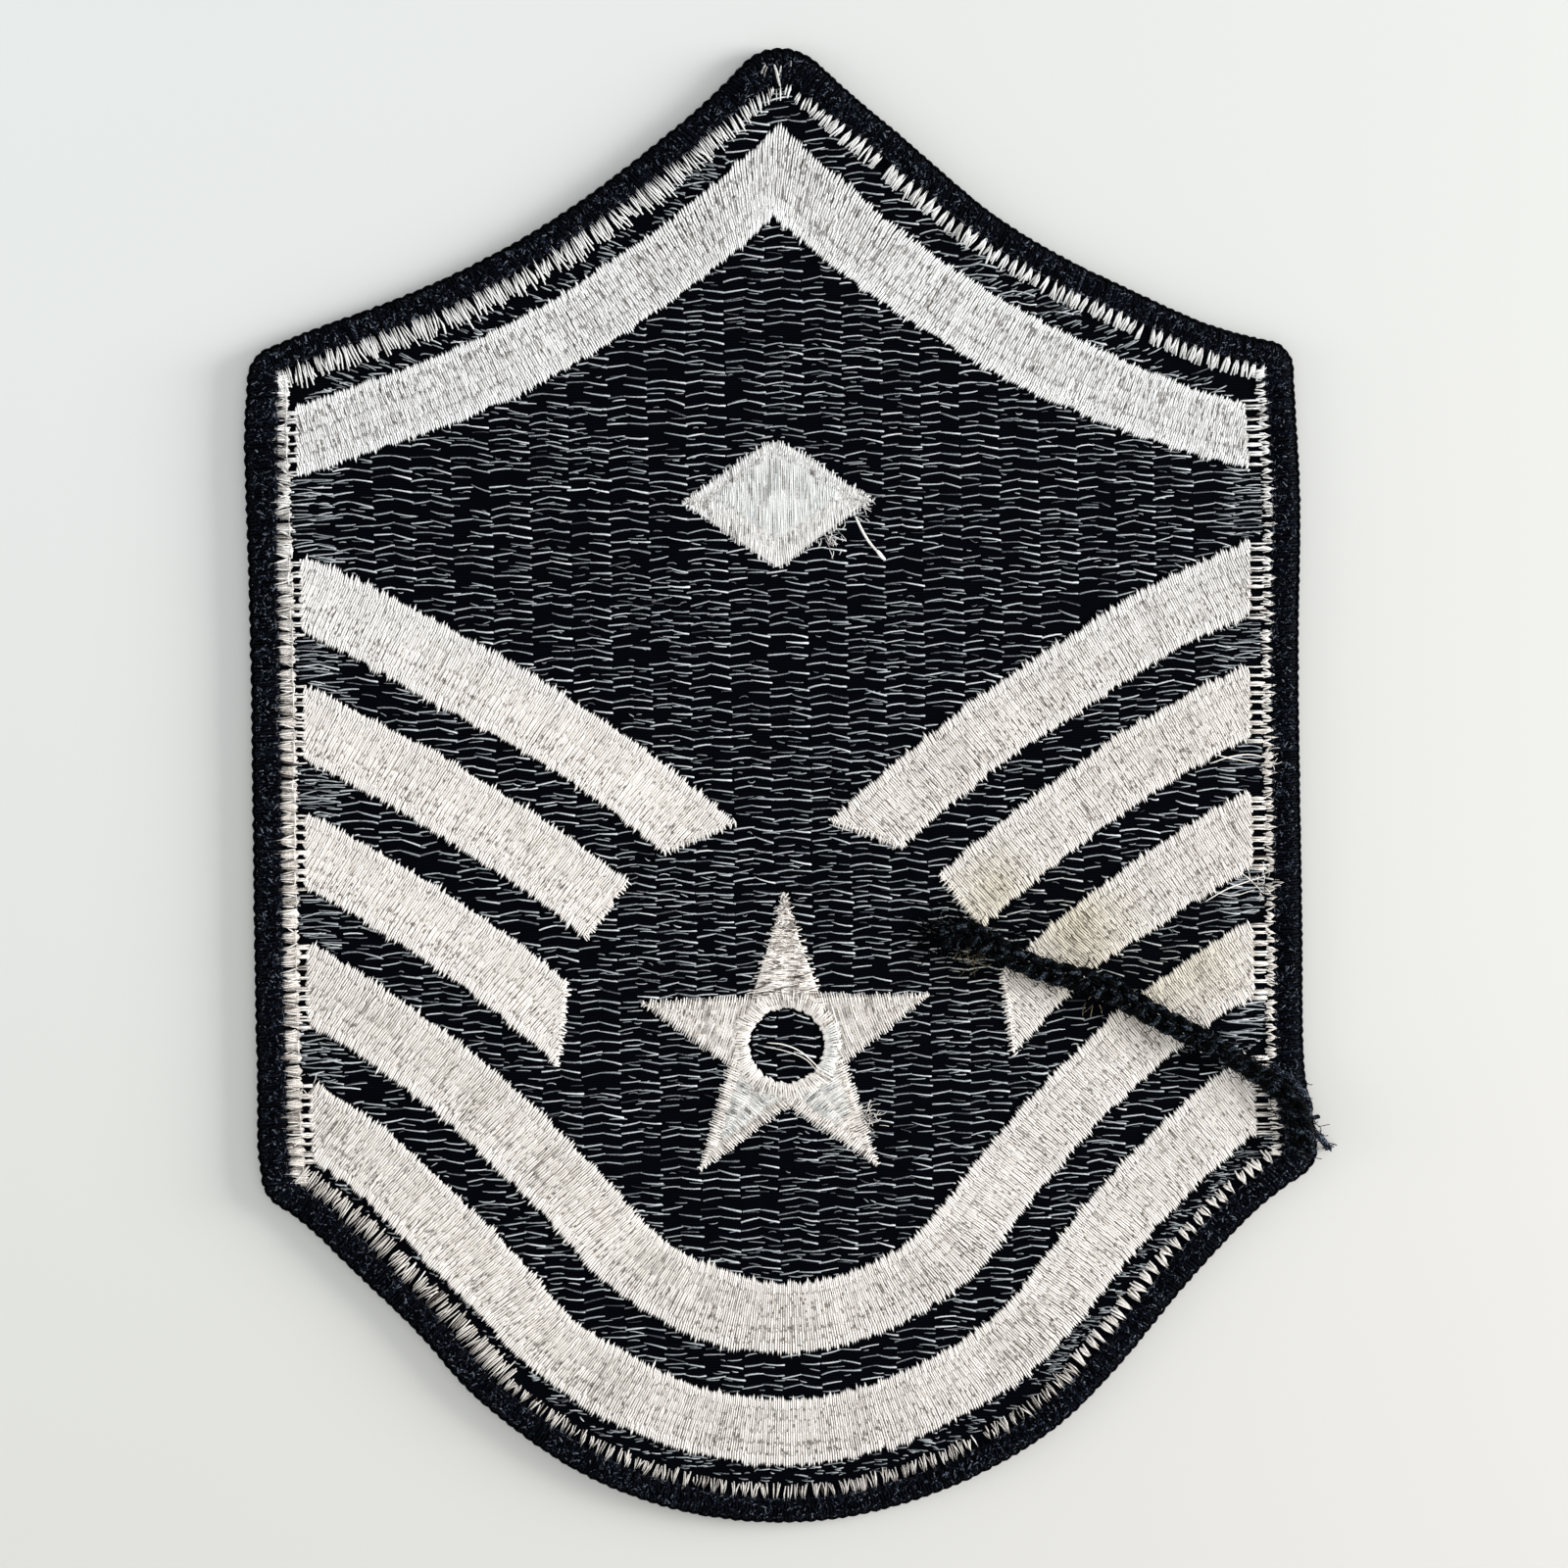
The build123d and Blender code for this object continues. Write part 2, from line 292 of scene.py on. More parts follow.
def at_pixel(u, v, height):
    """The point that shows at a pixel of the photo and lies at a height above the floor."""
    back = np.array(camera_turn().transposed())
    shift = np.array((*CAMERA_SHIFT, -CAMERA_DISTANCE))
    ray = np.array(((u - PHOTO_SIZE / 2) / FOCAL_PIXELS, (PHOTO_SIZE / 2 - v) / FOCAL_PIXELS, -1.0))
    reach = (height + back[2] @ shift) / (back[2] @ ray)
    return back @ (reach * ray - shift)


def in_photo(pixels, height):
    """The places on the drawn shape that end up at some pixels of the photo once they are shifted."""
    target = np.array([at_pixel(u, v, height)[:2] for u, v in pixels])
    plan = target
    for _ in range(6):
        plan = target - shift_of(plan)
    return plan


# Meshes
class Threads:
    """Threads gathered into one mesh. Each is a closed tube along its own points."""

    def __init__(self):
        self.vertices, self.tones, self.loops, self.sizes, self.maps = [], [], [], [], []
        self.vertex_count = self.thread_count = 0

    def add(self, centres, half_width, half_height, tone, up=(0, 0, 1), sides=3, point=0.0):
        """Adds threads. centres has one row of points for each thread, and tone one value for each.

        Each end tapers to a point over a share of the thread's length, or else is short and blunt."""
        centres = np.array(centres, float)
        centres[..., :2] += shift_of(centres[..., :2])
        count, points = centres.shape[:2]
        if count == 0:
            return
        along = unit(np.gradient(centres, axis=1))
        across = unit(np.cross(along, np.broadcast_to(up, centres.shape)))
        top = np.cross(across, along)
        widths = np.broadcast_to(half_width, (count, points))[..., None, None]
        heights = np.broadcast_to(half_height, (count, points))[..., None, None]
        turn = pi / 2 + 2 * pi * np.arange(sides) / sides
        rings = centres[:, :, None] + across[:, :, None] * (np.cos(turn)[:, None] * widths)
        rings = rings + top[:, :, None] * (np.sin(turn)[:, None] * heights)
        whole_length = np.linalg.norm(centres[:, -1] - centres[:, 0], axis=1)[:, None]
        first_tip, last_tip = (np.maximum(0.6 * widths[:, end, 0], point * whole_length) for end in (0, -1))
        start, end = centres[:, 0] - along[:, 0] * first_tip, centres[:, -1] + along[:, -1] * last_tip
        tips = np.stack((start, end), 1)
        vertices = np.concatenate((rings.reshape(count, points * sides, 3), tips), 1)
        loops, sizes, places = tube_faces(points, sides)
        first = self.vertex_count + np.arange(count) * vertices.shape[1]
        self.vertices.append(vertices.reshape(-1, 3))
        self.tones.append(np.repeat(np.broadcast_to(tone, count), vertices.shape[1]))
        self.loops.append((loops + first[:, None]).ravel())
        self.sizes.append(np.tile(sizes, count))
        cells = np.repeat(self.thread_count + np.arange(count), len(loops))
        self.maps.append((np.tile(places, (count, 1)), cells))
        self.vertex_count += count * vertices.shape[1]
        self.thread_count += count

    def piece(self, name, material, slot, *nodes):
        """Makes the mesh, with one cell of its map for each thread, and ties it to the frame."""
        vertices = np.concatenate(self.vertices)
        piece = write_mesh(name, vertices, np.concatenate(self.loops), np.concatenate(self.sizes))
        for label, values in (("tone", np.concatenate(self.tones)), ("stain", stain_of(vertices[:, :2]))):
            attribute = piece.data.attributes.new(label, "FLOAT", "POINT")
            attribute.data.foreach_set("value", values.astype(np.float32))
        side = ceil(sqrt(self.thread_count))
        places, cells = (np.concatenate(part) for part in zip(*self.maps))
        corner = np.stack((cells % side, cells // side), 1)
        layer = piece.data.uv_layers.new(name="OFBake")
        layer.data.foreach_set("uv", ((corner + 0.08 + 0.84 * places) / side).astype(np.float32).ravel())
        settle(piece, material, slot, *nodes)


def tube_faces(points, sides):
    """The corners of one closed tube's faces, each face's size, and each corner's place on the map."""
    start_tip, end_tip = points * sides, points * sides + 1
    loops, sizes, places = [], [], []
    for side in range(sides):
        after = (side + 1) % sides
        low, high = side / sides, (side + 1) / sides
        for ring in range(points - 1):
            here, there = ring * sides, (ring + 1) * sides
            loops += [here + side, there + side, there + after, here + after]
            near, far = (ring + 1) / (points + 1), (ring + 2) / (points + 1)
            places += [(near, low), (far, low), (far, high), (near, high)]
            sizes.append(4)
        last = (points - 1) * sides
        loops += [start_tip, side, after, end_tip, last + after, last + side]
        near, far = 1 / (points + 1), points / (points + 1)
        middle = (low + high) / 2
        places += [(0, middle), (near, low), (near, high), (1, middle), (far, high), (far, low)]
        sizes += [3, 3]
    return np.array(loops), np.array(sizes), np.array(places)


def write_mesh(name, vertices, loops, sizes, smooth=True):
    """A mesh object from points in millimetres and the corners of its faces."""
    mesh = bpy.data.meshes.new(name)
    mesh.vertices.add(len(vertices))
    mesh.vertices.foreach_set("co", (vertices * MM).astype(np.float32).ravel())
    mesh.loops.add(len(loops))
    mesh.loops.foreach_set("vertex_index", loops.astype(np.int32))
    mesh.polygons.add(len(sizes))
    mesh.polygons.foreach_set("loop_start", np.concatenate(([0], np.cumsum(sizes)[:-1])).astype(np.int32))
    mesh.polygons.foreach_set("use_smooth", np.full(len(sizes), smooth))
    mesh.update(calc_edges=True)
    mesh.validate()
    piece = bpy.data.objects.new(name, mesh)
    bpy.context.scene.collection.objects.link(piece)
    return piece


def settle(piece, material, slot, *nodes):
    """Gives a piece its material, lets it ride on the patch and stand for its CAD nodes."""
    piece.data.materials.append(material)
    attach(piece, "root")
    if nodes:
        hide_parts(*nodes)


# Materials
def nodes_of(name, roughness, gloss):
    """A new material, its node tree and its Principled shader."""
    made = bpy.data.materials.new(name)
    made.use_nodes = True
    shader = made.node_tree.nodes["Principled BSDF"]
    shader.inputs["Roughness"].default_value = roughness
    shader.inputs["Specular IOR Level"].default_value = gloss
    return made, made.node_tree, shader


def add_node(tree, kind, output, inputs=(), **settings):
    """Adds a node with its inputs, values or other nodes' outputs, and returns one of its outputs."""
    node = tree.nodes.new("ShaderNode" + kind)
    for key, value in settings.items():
        setattr(node, key, value)
    for key, value in dict(inputs).items():
        if isinstance(value, bpy.types.NodeSocket):
            tree.links.new(value, node.inputs[key])
        else:
            node.inputs[key].default_value = value
    return node.outputs[output]


def spread_over(tree, value, start, end, low, high):
    """Maps one range of values to another."""
    limits = {"Value": value, "From Min": start, "From Max": end, "To Min": low, "To Max": high}
    return add_node(tree, "MapRange", "Result", limits)


def blend(tree, share, a, b, kind="MIX"):
    """Mixes two colours."""
    inputs = {"Factor": share, "A": a, "B": b}
    return add_node(tree, "Mix", "Result", inputs, data_type="RGBA", blend_type=kind)


def roughen(tree, shader, height, strength, distance):
    """Gives a shader fine relief."""
    inputs = {"Height": height, "Strength": strength, "Distance": distance * MM}
    tree.links.new(add_node(tree, "Bump", "Normal", inputs), shader.inputs["Normal"])


def colour_ramp(tree, shade, stops):
    """A colour by shade, through some stops, each a shade and its colour."""
    colour = add_node(tree, "ValToRGB", "Color", {"Fac": shade})
    elements = colour.node.color_ramp.elements
    while len(elements) < len(stops):
        elements.new(0.5)
    for element, (place, value) in zip(elements, stops):
        element.position = place
        element.color = (*value, 1)
    return colour


# Thread is painted warmer towards the foot, a painted warm cast of the light there, and yellow where it is
# stained
WARM_FROM, WARM_TO = 0.005, 0.032
WARM_LIGHT_TINT = (1.0, 0.955, 0.915, 1)
STAIN_TINT = (0.80, 0.77, 0.64, 1)


def thread_material(name, roughness, speckle_size, speckle_share, gloss, warm_light, stained, *stops):
    """Thread whose colour follows each thread's own tone along its stops, with fine speckles."""
    made, tree, shader = nodes_of(name, roughness, gloss)
    place = add_node(tree, "TexCoord", "Object")
    tone = add_node(tree, "Attribute", "Fac", attribute_name="tone")
    inputs = {"Vector": place, "Scale": 1 / (speckle_size * MM), "Detail": 3}
    speckle = add_node(tree, "TexNoise", "Fac", inputs)
    spread = spread_over(tree, speckle, 0.3, 0.7, -speckle_share, speckle_share)
    shade = add_node(tree, "Math", "Value", {0: tone, 1: spread}, operation="ADD")
    colour = colour_ramp(tree, shade, stops)
    # painted light: a warm cast that grows towards the foot
    if warm_light:
        upward = add_node(tree, "SeparateXYZ", "Y", {"Vector": place})
        share = spread_over(tree, upward, WARM_FROM, WARM_TO, warm_light, 0.0)
        colour = blend(tree, share, colour, WARM_LIGHT_TINT, "MULTIPLY")
    if stained:
        share = add_node(tree, "Attribute", "Fac", attribute_name="stain")
        colour = blend(tree, share, colour, STAIN_TINT, "MULTIPLY")
    tree.links.new(colour, shader.inputs["Base Color"])
    roughen(tree, shader, speckle, 0.4, 0.05)
    return made


GROUND_THREAD_PITCH = 0.25


def ground_material():
    """Navy cloth covered with fine rows of navy thread."""
    made, tree, shader = nodes_of("navy_ground", 0.7, 0.02)
    place = add_node(tree, "TexCoord", "Object")
    scale = 2 * pi / (20 * GROUND_THREAD_PITCH * MM)
    inputs = {"Vector": place, "Scale": scale, "Distortion": 2.5, "Detail": 2, "Detail Scale": 1.5}
    rows = add_node(tree, "TexWave", "Fac", inputs, bands_direction="Y")
    mottle = add_node(tree, "TexNoise", "Fac", {"Vector": place, "Scale": 900, "Detail": 4})
    shade = add_node(tree, "Math", "Value", {0: rows, 1: mottle}, operation="MULTIPLY")
    colour = blend(tree, shade, (0.00005, 0.00005, 0.0001, 1), (0.0012, 0.0022, 0.0062, 1))
    tree.links.new(colour, shader.inputs["Base Color"])
    roughen(tree, shader, shade, 0.7, 0.12)
    return made


# The floor's colour at each corner: painted light that stands in for the lamps' uneven fall
FLOOR_PAINTED_LIGHT = {
    "top_left": (0.573, 0.590, 0.586, 1), "top_right": (0.520, 0.526, 0.512, 1),
    "foot_left": (0.545, 0.545, 0.520, 1), "foot_right": (0.534, 0.524, 0.505, 1),
}
FLOOR_REACH = 0.07


def floor_material():
    """A pale matt floor with painted light: lighter and cooler to the top left, warmer towards the foot."""
    made, tree, shader = nodes_of("pale_floor", 0.7, 0.2)
    place = add_node(tree, "TexCoord", "Object")
    along = (add_node(tree, "SeparateXYZ", axis, {"Vector": place}) for axis in ("X", "Y"))
    right, up = (spread_over(tree, value, -FLOOR_REACH, FLOOR_REACH, 0.0, 1.0) for value in along)
    top, foot = (blend(tree, right, FLOOR_PAINTED_LIGHT[f"{row}_left"], FLOOR_PAINTED_LIGHT[f"{row}_right"]) for row in ("top", "foot"))
    tree.links.new(blend(tree, up, foot, top), shader.inputs["Base Color"])
    return made


# Each thread: its roughness, the size and share of its speckles, its gloss and painted warm light, whether it
# stains, and its colour by tone
# The darkest tone is the painted shade of the slits between strokes
SLIT_SHADE = (0.07, 0.055, 0.045)
back_white = thread_material(
    "back_white_thread", 0.42, 0.15, 0.14, 0.3, 1.0, True, (0.0, SLIT_SHADE), (0.18, (0.39, 0.375, 0.36)),
    (0.42, (0.83, 0.825, 0.81)), (0.72, (0.94, 0.94, 0.935)), (1.0, (1.0, 1.0, 0.995)),
)
back_cool = thread_material(
    "back_flat_thread", 0.5, 0.2, 0.14, 0.2, 0.35, True, (0.0, SLIT_SHADE), (0.2, (0.40, 0.42, 0.42)),
    (0.45, (0.75, 0.765, 0.755)), (1.0, (0.92, 0.925, 0.915)),
)
front_white = thread_material(
    "front_white_thread", 0.38, 0.16, 0.08, 0.3, 0.0, False, (0.0, (0.5, 0.5, 0.5)),
    (1.0, (0.95, 0.945, 0.93)),
)
grey_thread = thread_material(
    "grey_locking_thread", 0.42, 0.2, 0.14, 0.3, 0.0, True, (0.0, (0.03, 0.035, 0.045)),
    (0.5, (0.33, 0.36, 0.38)), (1.0, (0.71, 0.74, 0.76)),
)
# The top stops are painted highlights on the brightest fibres
navy_thread = thread_material(
    "navy_border_thread", 0.6, 0.17, 0.45, 0.03, 0.0, False, (0.0, (0.0002, 0.0003, 0.0008)),
    (0.5, (0.0012, 0.0019, 0.0045)), (0.78, (0.010, 0.014, 0.024)), (1.0, (0.12, 0.14, 0.175)),
)
navy_core = thread_material(
    "navy_border_core", 0.8, 0.2, 0.3, 0.05, 0.0, True, (0.0, (0.0006, 0.0009, 0.002)),
    (1.0, (0.003, 0.004, 0.007)),
)
brown_fibre = thread_material(
    "brown_glued_fibre", 0.5, 0.2, 0.3, 0.1, 0.0, False, (0.0, (0.004, 0.003, 0.002)),
    (0.5, (0.035, 0.026, 0.016)), (1.0, (0.28, 0.22, 0.15)),
)
# The top stops are painted glints and highlights on the black braid
tail_thread = thread_material(
    "tail_thread", 0.5, 0.2, 0.40, 0.03, 0.0, False, (0.0, (0.0001, 0.0001, 0.0001)),
    (0.6, (0.0003, 0.0006, 0.0010)), (0.85, (0.006, 0.010, 0.016)), (1.0, (0.055, 0.072, 0.088)),
)


# Ways to lay threads
BACK_SIDE, WORN_SIDE = (0, 0, 1), (0, 0, -1)
SHORTEST_SHARE = 0.12
# Short strokes by kind. Their level is measured from the back or the worn side, and for the last three from the
# cloth.
SHORT_STROKES = {
    "columns": ("half_width", "tone", "level", "bow", "spread of tones", "shift of the middle"),
    "cut_fringe": (0.10, 0.62, 0.05, 0.10, 0.14, 0.04),
    "upper_arm": (0.105, 0.40, 0.00, 0.10, 0.20, 0.04),
    "rim": (0.122, 0.60, 0.02, 0.10, 0.20, 0.04),
    "panel": (0.112, 0.46, -0.02, 0.10, 0.20, 0.04),
    "flat_panel": (0.150, 0.36, -0.02, 0.10, 0.09, 0.04),
    "ring": (0.120, 0.60, 0.12, 0.12, 0.20, 0.04),
    "flat_ring": (0.150, 0.42, 0.12, 0.10, 0.08, 0.04),
    "worn_arm": (0.145, 0.60, 0.00, 0.07, 0.08, 0.04),
    "worn_ring": (0.150, 0.62, -0.04, 0.07, 0.08, 0.04),
    "lozenge_panel_high": (0.125, 0.60, -0.01, 0.10, 0.08, 0.04),
    "lozenge_panel_low": (0.125, 0.58, -0.02, 0.10, 0.08, 0.04),
    "upper_tuck": (0.105, 0.48, 0.00, 0.10, 0.20, 0.04),
    "upper_fringe": (0.112, 0.60, 0.03, 0.10, 0.20, 0.04),
    "lower_tuck": (0.112, 0.52, 0.00, 0.10, 0.20, 0.04),
    "lower_fringe": (0.120, 0.66, 0.03, 0.10, 0.20, 0.04),
    "smudge": (0.11, 0.40, 0.02, 0.10, 0.10, 0.04),
    "worn_lozenge": (0.14, 0.60, 0.00, 0.07, 0.08, 0.04),
    "dim_end": (0.085, 0.34, 0.11, 0.03, 0.20, 0.04),
    "leaning_end": (0.085, 0.42, 0.11, 0.03, 0.20, 0.04),
    "rung": (0.120, 0.46, 0.20, 0.02, 0.20, 0.05),
}
SLIT_WIDTH, SLIT_HEIGHT, SLIT_TONE_SPREAD = 0.048, 0.02, 0.08


def clip(start, end, limits):
    """Cuts segments back to the inside of some half planes, each a normal and the most along it."""
    first, last = np.zeros(len(start)), np.ones(len(start))
    for normal, most in limits:
        over_start, over_end = start @ normal - most, end @ normal - most
        meets = over_start / np.where(over_start == over_end, 1, over_start - over_end)
        first = np.where(over_start > 0, np.maximum(first, np.where(over_end > 0, 1, meets)), first)
        last = np.where(over_end > 0, np.minimum(last, np.where(over_start > 0, 0, meets)), last)
    keep = last - first > SHORTEST_SHARE
    run = end - start
    return start + run * first[:, None], start + run * last[:, None], keep


def segments(threads, start, end, kind, draw, base=BACK_LEVEL, up=BACK_SIDE, painted_sheen=0.0):
    """Lays short strokes of one kind from some points to others, with their ends tucked in."""
    half, tone, level, bow, spread, shift = SHORT_STROKES[kind]
    count = len(start)
    middle = (start + end) / 2 + draw.normal(0, shift, (count, 2))
    heights = base + level + draw.normal(0, 0.025, (count, 1)) + up[2] * np.array((-bow, 0.03, -bow))
    widths = half * np.array((0.72, 1.0, 0.72)) * draw.uniform(0.85, 1.12, (count, 1))
    centres = raised(np.stack((start, middle, end), 1), heights)
    threads.add(centres, widths, 0.11, tone + painted_sheen + draw.normal(0, spread, count), up=up)


def worn_segments(threads, start, end, kind, draw):
    segments(threads, start, end, kind, draw, base=FRONT_LEVEL, up=WORN_SIDE)


def underlay(threads, start, end, tone, lift):
    """Lays wide flat strokes that close the gaps under the others, toned dark grey as painted shade in those
    gaps.
    """
    threads.add(raised(np.stack((start, end), 1), BACK_LEVEL + lift), 0.28, 0.06, tone)


def lay_slits(threads, start, end, half, tone, level, draw):
    tones = np.clip(draw.normal(tone, SLIT_TONE_SPREAD, len(start)), 0, 1)
    threads.add(raised(np.stack((start, end), 1), level), half, SLIT_HEIGHT, tones)


def slits(threads, start, end, share, draw, lift):
    """Lays thin dark slits of painted shade between some of the strokes, each along part of its stroke."""
    count = len(start)
    run = end - start
    begin = draw.uniform(0.0, 0.7, (count, 1))
    finish = np.minimum(begin + draw.uniform(0.15, 0.5, (count, 1)), 1)
    keep = draw.random(count) < share
    start, end = (start + run * begin)[keep], (start + run * finish)[keep]
    lay_slits(threads, start, end, SLIT_WIDTH, 0.0, BACK_LEVEL + lift, draw)


# The way along a loose fibre, and the bow that it makes
WAY = np.linspace(0, 1, 5)
BOW = np.sin(WAY * pi)


def lay_fibres(threads, start, turn, length, curl, heights, half_width, half_height, tones):
    """Lays loose fibres that leave some points in some directions and curl as they go."""
    angles = turn[:, None] + curl[:, None] * WAY
    plan = start[:, None] + np.cumsum(heading(angles) * (length / len(WAY))[:, None, None], axis=1)
    threads.add(raised(plan, heights), half_width, half_height, tones)


def smooth_route(points, count):
    """A smooth line through some points, as a Catmull-Rom curve."""
    p = np.asarray(points, float)
    p = np.concatenate((2 * p[:1] - p[1:2], p, 2 * p[-1:] - p[-2:-1]))
    t = np.linspace(0, 1, count, endpoint=False)[:, None]
    made = []
    for a, b, c, d in zip(p, p[1:], p[2:], p[3:]):
        second, third = 2 * a - 5 * b + 4 * c - d, 3 * b - a - 3 * c + d
        made.append(0.5 * (2 * b + (c - a) * t + second * t**2 + third * t**3))
    return np.concatenate(made + [p[-2:-1]])


def lay_rope(threads, points, radius, tone, draw, twist, fibres=5):
    """Lays a twisted cord of a few fibres along a line of points in space."""
    along = unit(np.gradient(points, axis=0))
    side = unit(np.cross(along, (0, 0, 1.0)))
    top = np.cross(side, along)
    run = np.concatenate(([0], np.cumsum(np.linalg.norm(np.diff(points, axis=0), axis=1))))
    for fibre in range(fibres):
        turn = (2 * pi * fibre / fibres + run * 2 * pi / twist)[:, None]
        centres = points + (side * np.cos(turn) + top * np.sin(turn)) * radius * 0.55
        threads.add(centres[None], radius * 0.55, radius * 0.5, tone + draw.normal(0, 0.1, 1), sides=4)


# The satin: strokes across each stripe, in rows that end in each other.
# Each row starts and ends at a share of the stripe's width, and leans along the stripe.
SATIN_PITCH = 0.225
SATIN_ROWS = {
    "columns": ("start", "end", "lean", "half_width", "tone", "level"),
    "bar": [
        (0.05, 0.95, 0.00, 0.32, 0.26, -0.10),
        (0.28, 0.54, 0.08, 0.112, 0.68, -0.01),
        (0.46, 0.72, 0.06, 0.112, 0.68, 0.00),
        (0.12, 0.36, 0.02, 0.112, 0.70, 0.01),
        (0.64, 0.87, 0.02, 0.112, 0.70, 0.01),
        (-0.012, 0.20, -0.20, 0.128, 0.84, 0.05),
        (0.80, 1.012, -0.20, 0.128, 0.82, 0.05),
    ],
    "chevron": [
        (0.05, 0.95, 0.00, 0.32, 0.28, -0.10),
        (0.24, 0.46, 0.00, 0.110, 0.62, 0.00),
        (0.40, 0.62, 0.03, 0.110, 0.62, -0.01),
        (0.56, 0.78, 0.00, 0.110, 0.62, 0.00),
        (0.10, 0.30, 0.05, 0.114, 0.68, 0.01),
        (0.70, 0.90, 0.05, 0.114, 0.68, 0.01),
        (-0.012, 0.18, 0.14, 0.128, 0.82, 0.05),
        (0.82, 1.012, 0.14, 0.128, 0.82, 0.05),
    ],
}
# How the strokes vary. The first row of each pattern is the underlay of the others, kept dark grey as painted
# shade between them.
STROKE_POINT = 0.24
STROKES = {
    "columns": ("ends", "level", "tone", "half_height", "point"),
    "underlay": (0.0, 0.0, 0.05, 0.06, 0.0),
    "stroke": (0.020, 0.025, 0.17, 0.115, STROKE_POINT / (1 - 2 * STROKE_POINT)),
}
# Thin dark slits between the strokes, painted shade in the gaps, most of them where two rows meet
SLIT_ROWS = {
    "columns": ("place", "spread", "length", "share of strokes"),
    "bar": [
        (0.12, 0.02, 0.22, 0.14), (0.22, 0.03, 0.28, 0.26), (0.34, 0.03, 0.32, 0.28), (0.47, 0.06, 0.36, 0.22),
        (0.60, 0.04, 0.32, 0.28), (0.74, 0.03, 0.28, 0.26), (0.87, 0.02, 0.22, 0.14),
    ],
    "chevron": [
        (0.14, 0.025, 0.28, 0.20), (0.26, 0.03, 0.40, 0.26), (0.42, 0.06, 0.44, 0.22), (0.58, 0.06, 0.44, 0.22),
        (0.72, 0.03, 0.40, 0.24), (0.82, 0.025, 0.60, 0.32),
    ],
}
# The edges of the stripes end in low lobes, and some of their strokes stand out as spikes
LOBE_STROKES, LOBE_SPREAD = 5, 0.014
EDGE_SPREAD, SPIKE, SPIKE_SHARE = 0.013, 0.024, 0.10
CHEVRON_TOP_SHARE = 0.5


def drift(count, every, spread, draw):
    """A value for each stroke that drifts, with a new turn every few strokes."""
    knots = np.arange(0, count + every, every)
    return np.interp(np.arange(count), knots, draw.normal(0, spread, len(knots)))


def lay_back_satin(threads, low, high, along, pattern, limits, painted_sheen, draw):
    """Lays rows of short strokes from the low edge of a stripe to its high edge, as its back shows them."""
    count = len(low)
    run = high - low
    slow = drift(count, 12, 0.03, draw)
    for number, (start, end, lean, half, tone, lift) in enumerate(SATIN_ROWS[pattern]):
        under = number == 0
        ends, uneven, tone_spread, half_height, point = STROKES["underlay" if under else "stroke"]
        begin = start + draw.normal(0, ends, count)
        finish = end + draw.normal(0, ends, count)
        ragged = drift(count, LOBE_STROKES, LOBE_SPREAD, draw) + draw.normal(0, EDGE_SPREAD, count)
        ragged += SPIKE * (draw.random(count) < SPIKE_SHARE)
        begin -= ragged * (start < 0.0)
        finish += ragged * (end > 1.0) * (CHEVRON_TOP_SHARE if pattern == "chevron" else 1.0)
        offset = along * (SATIN_PITCH / 2 * (number % 2) - lean / 2)
        p = low + run * begin[:, None] + offset
        q = low + run * finish[:, None] + offset + along * (lean + draw.normal(0, 0.04, (count, 1)))
        p, q, keep = clip(p, q, limits)
        if under:
            keep &= np.arange(count) % 2 == 0
        else:
            p, q = p + (q - p) * STROKE_POINT, q - (q - p) * STROKE_POINT
        # each stroke sinks under the row that lies nearer the middle of the stripe
        sink = np.array((-0.02, -0.06) if (start + end) / 2 < 0.5 else (-0.06, -0.02)) * (not under)
        level = BACK_LEVEL + lift + draw.normal(0, uneven, count)
        centres = raised(np.stack((p, q), 1), level[:, None] + sink)
        widths = half * draw.uniform(0.85, 1.12, count)[:, None]
        tones = tone + painted_sheen + slow + draw.normal(0, tone_spread, count)
        threads.add(centres[keep], widths[keep], half_height, tones[keep], point=point)
    for place, spread, length, share in SLIT_ROWS[pattern]:
        at = place + draw.normal(0, spread, count)
        reach = unit(run) * (length * draw.uniform(0.5, 1.3, count) / 2)[:, None]
        middle = low + run * at[:, None] + along * SATIN_PITCH * draw.uniform(0.3, 0.7, (count, 1))
        p, q, keep = clip(middle - reach, middle + reach, limits)
        keep &= draw.random(count) < share
        lay_slits(threads, p[keep], q[keep], 0.050, -0.03, BACK_LEVEL + 0.10, draw)


def lay_front_satin(threads, low, high, limits, draw):
    """Lays one long smooth stroke across a stripe at each place, as its worn side shows them."""
    p, q, keep = clip(low, high, limits)
    plan = p[:, None] + (q - p)[:, None] * np.array((0.0, 0.1, 0.5, 0.9, 1.0))[:, None]
    level = FRONT_LEVEL + np.array((0.10, 0.02, -0.02, 0.02, 0.10)) + draw.normal(0, 0.012, (len(p), 1))
    widths = 0.145 * np.array((0.7, 0.95, 1.0, 0.95, 0.7)) * draw.uniform(0.94, 1.08, (len(p), 1))
    tones = 0.6 + draw.normal(0, 0.08, len(p))
    threads.add(raised(plan, level)[keep], widths[keep], 0.12, tones[keep], up=WORN_SIDE)


def on_circle(centre, radius, place, direction):
    """Where a line through each place meets a circle, at the crossing that is nearer to the place."""
    offset = place - centre
    along = (offset * direction).sum(1)
    reach = np.sqrt(along**2 - (offset**2).sum(1) + radius**2)
    near, far = -along - reach, -along + reach
    step = np.where(np.abs(near) < np.abs(far), near, far)
    return place + direction * step[:, None]


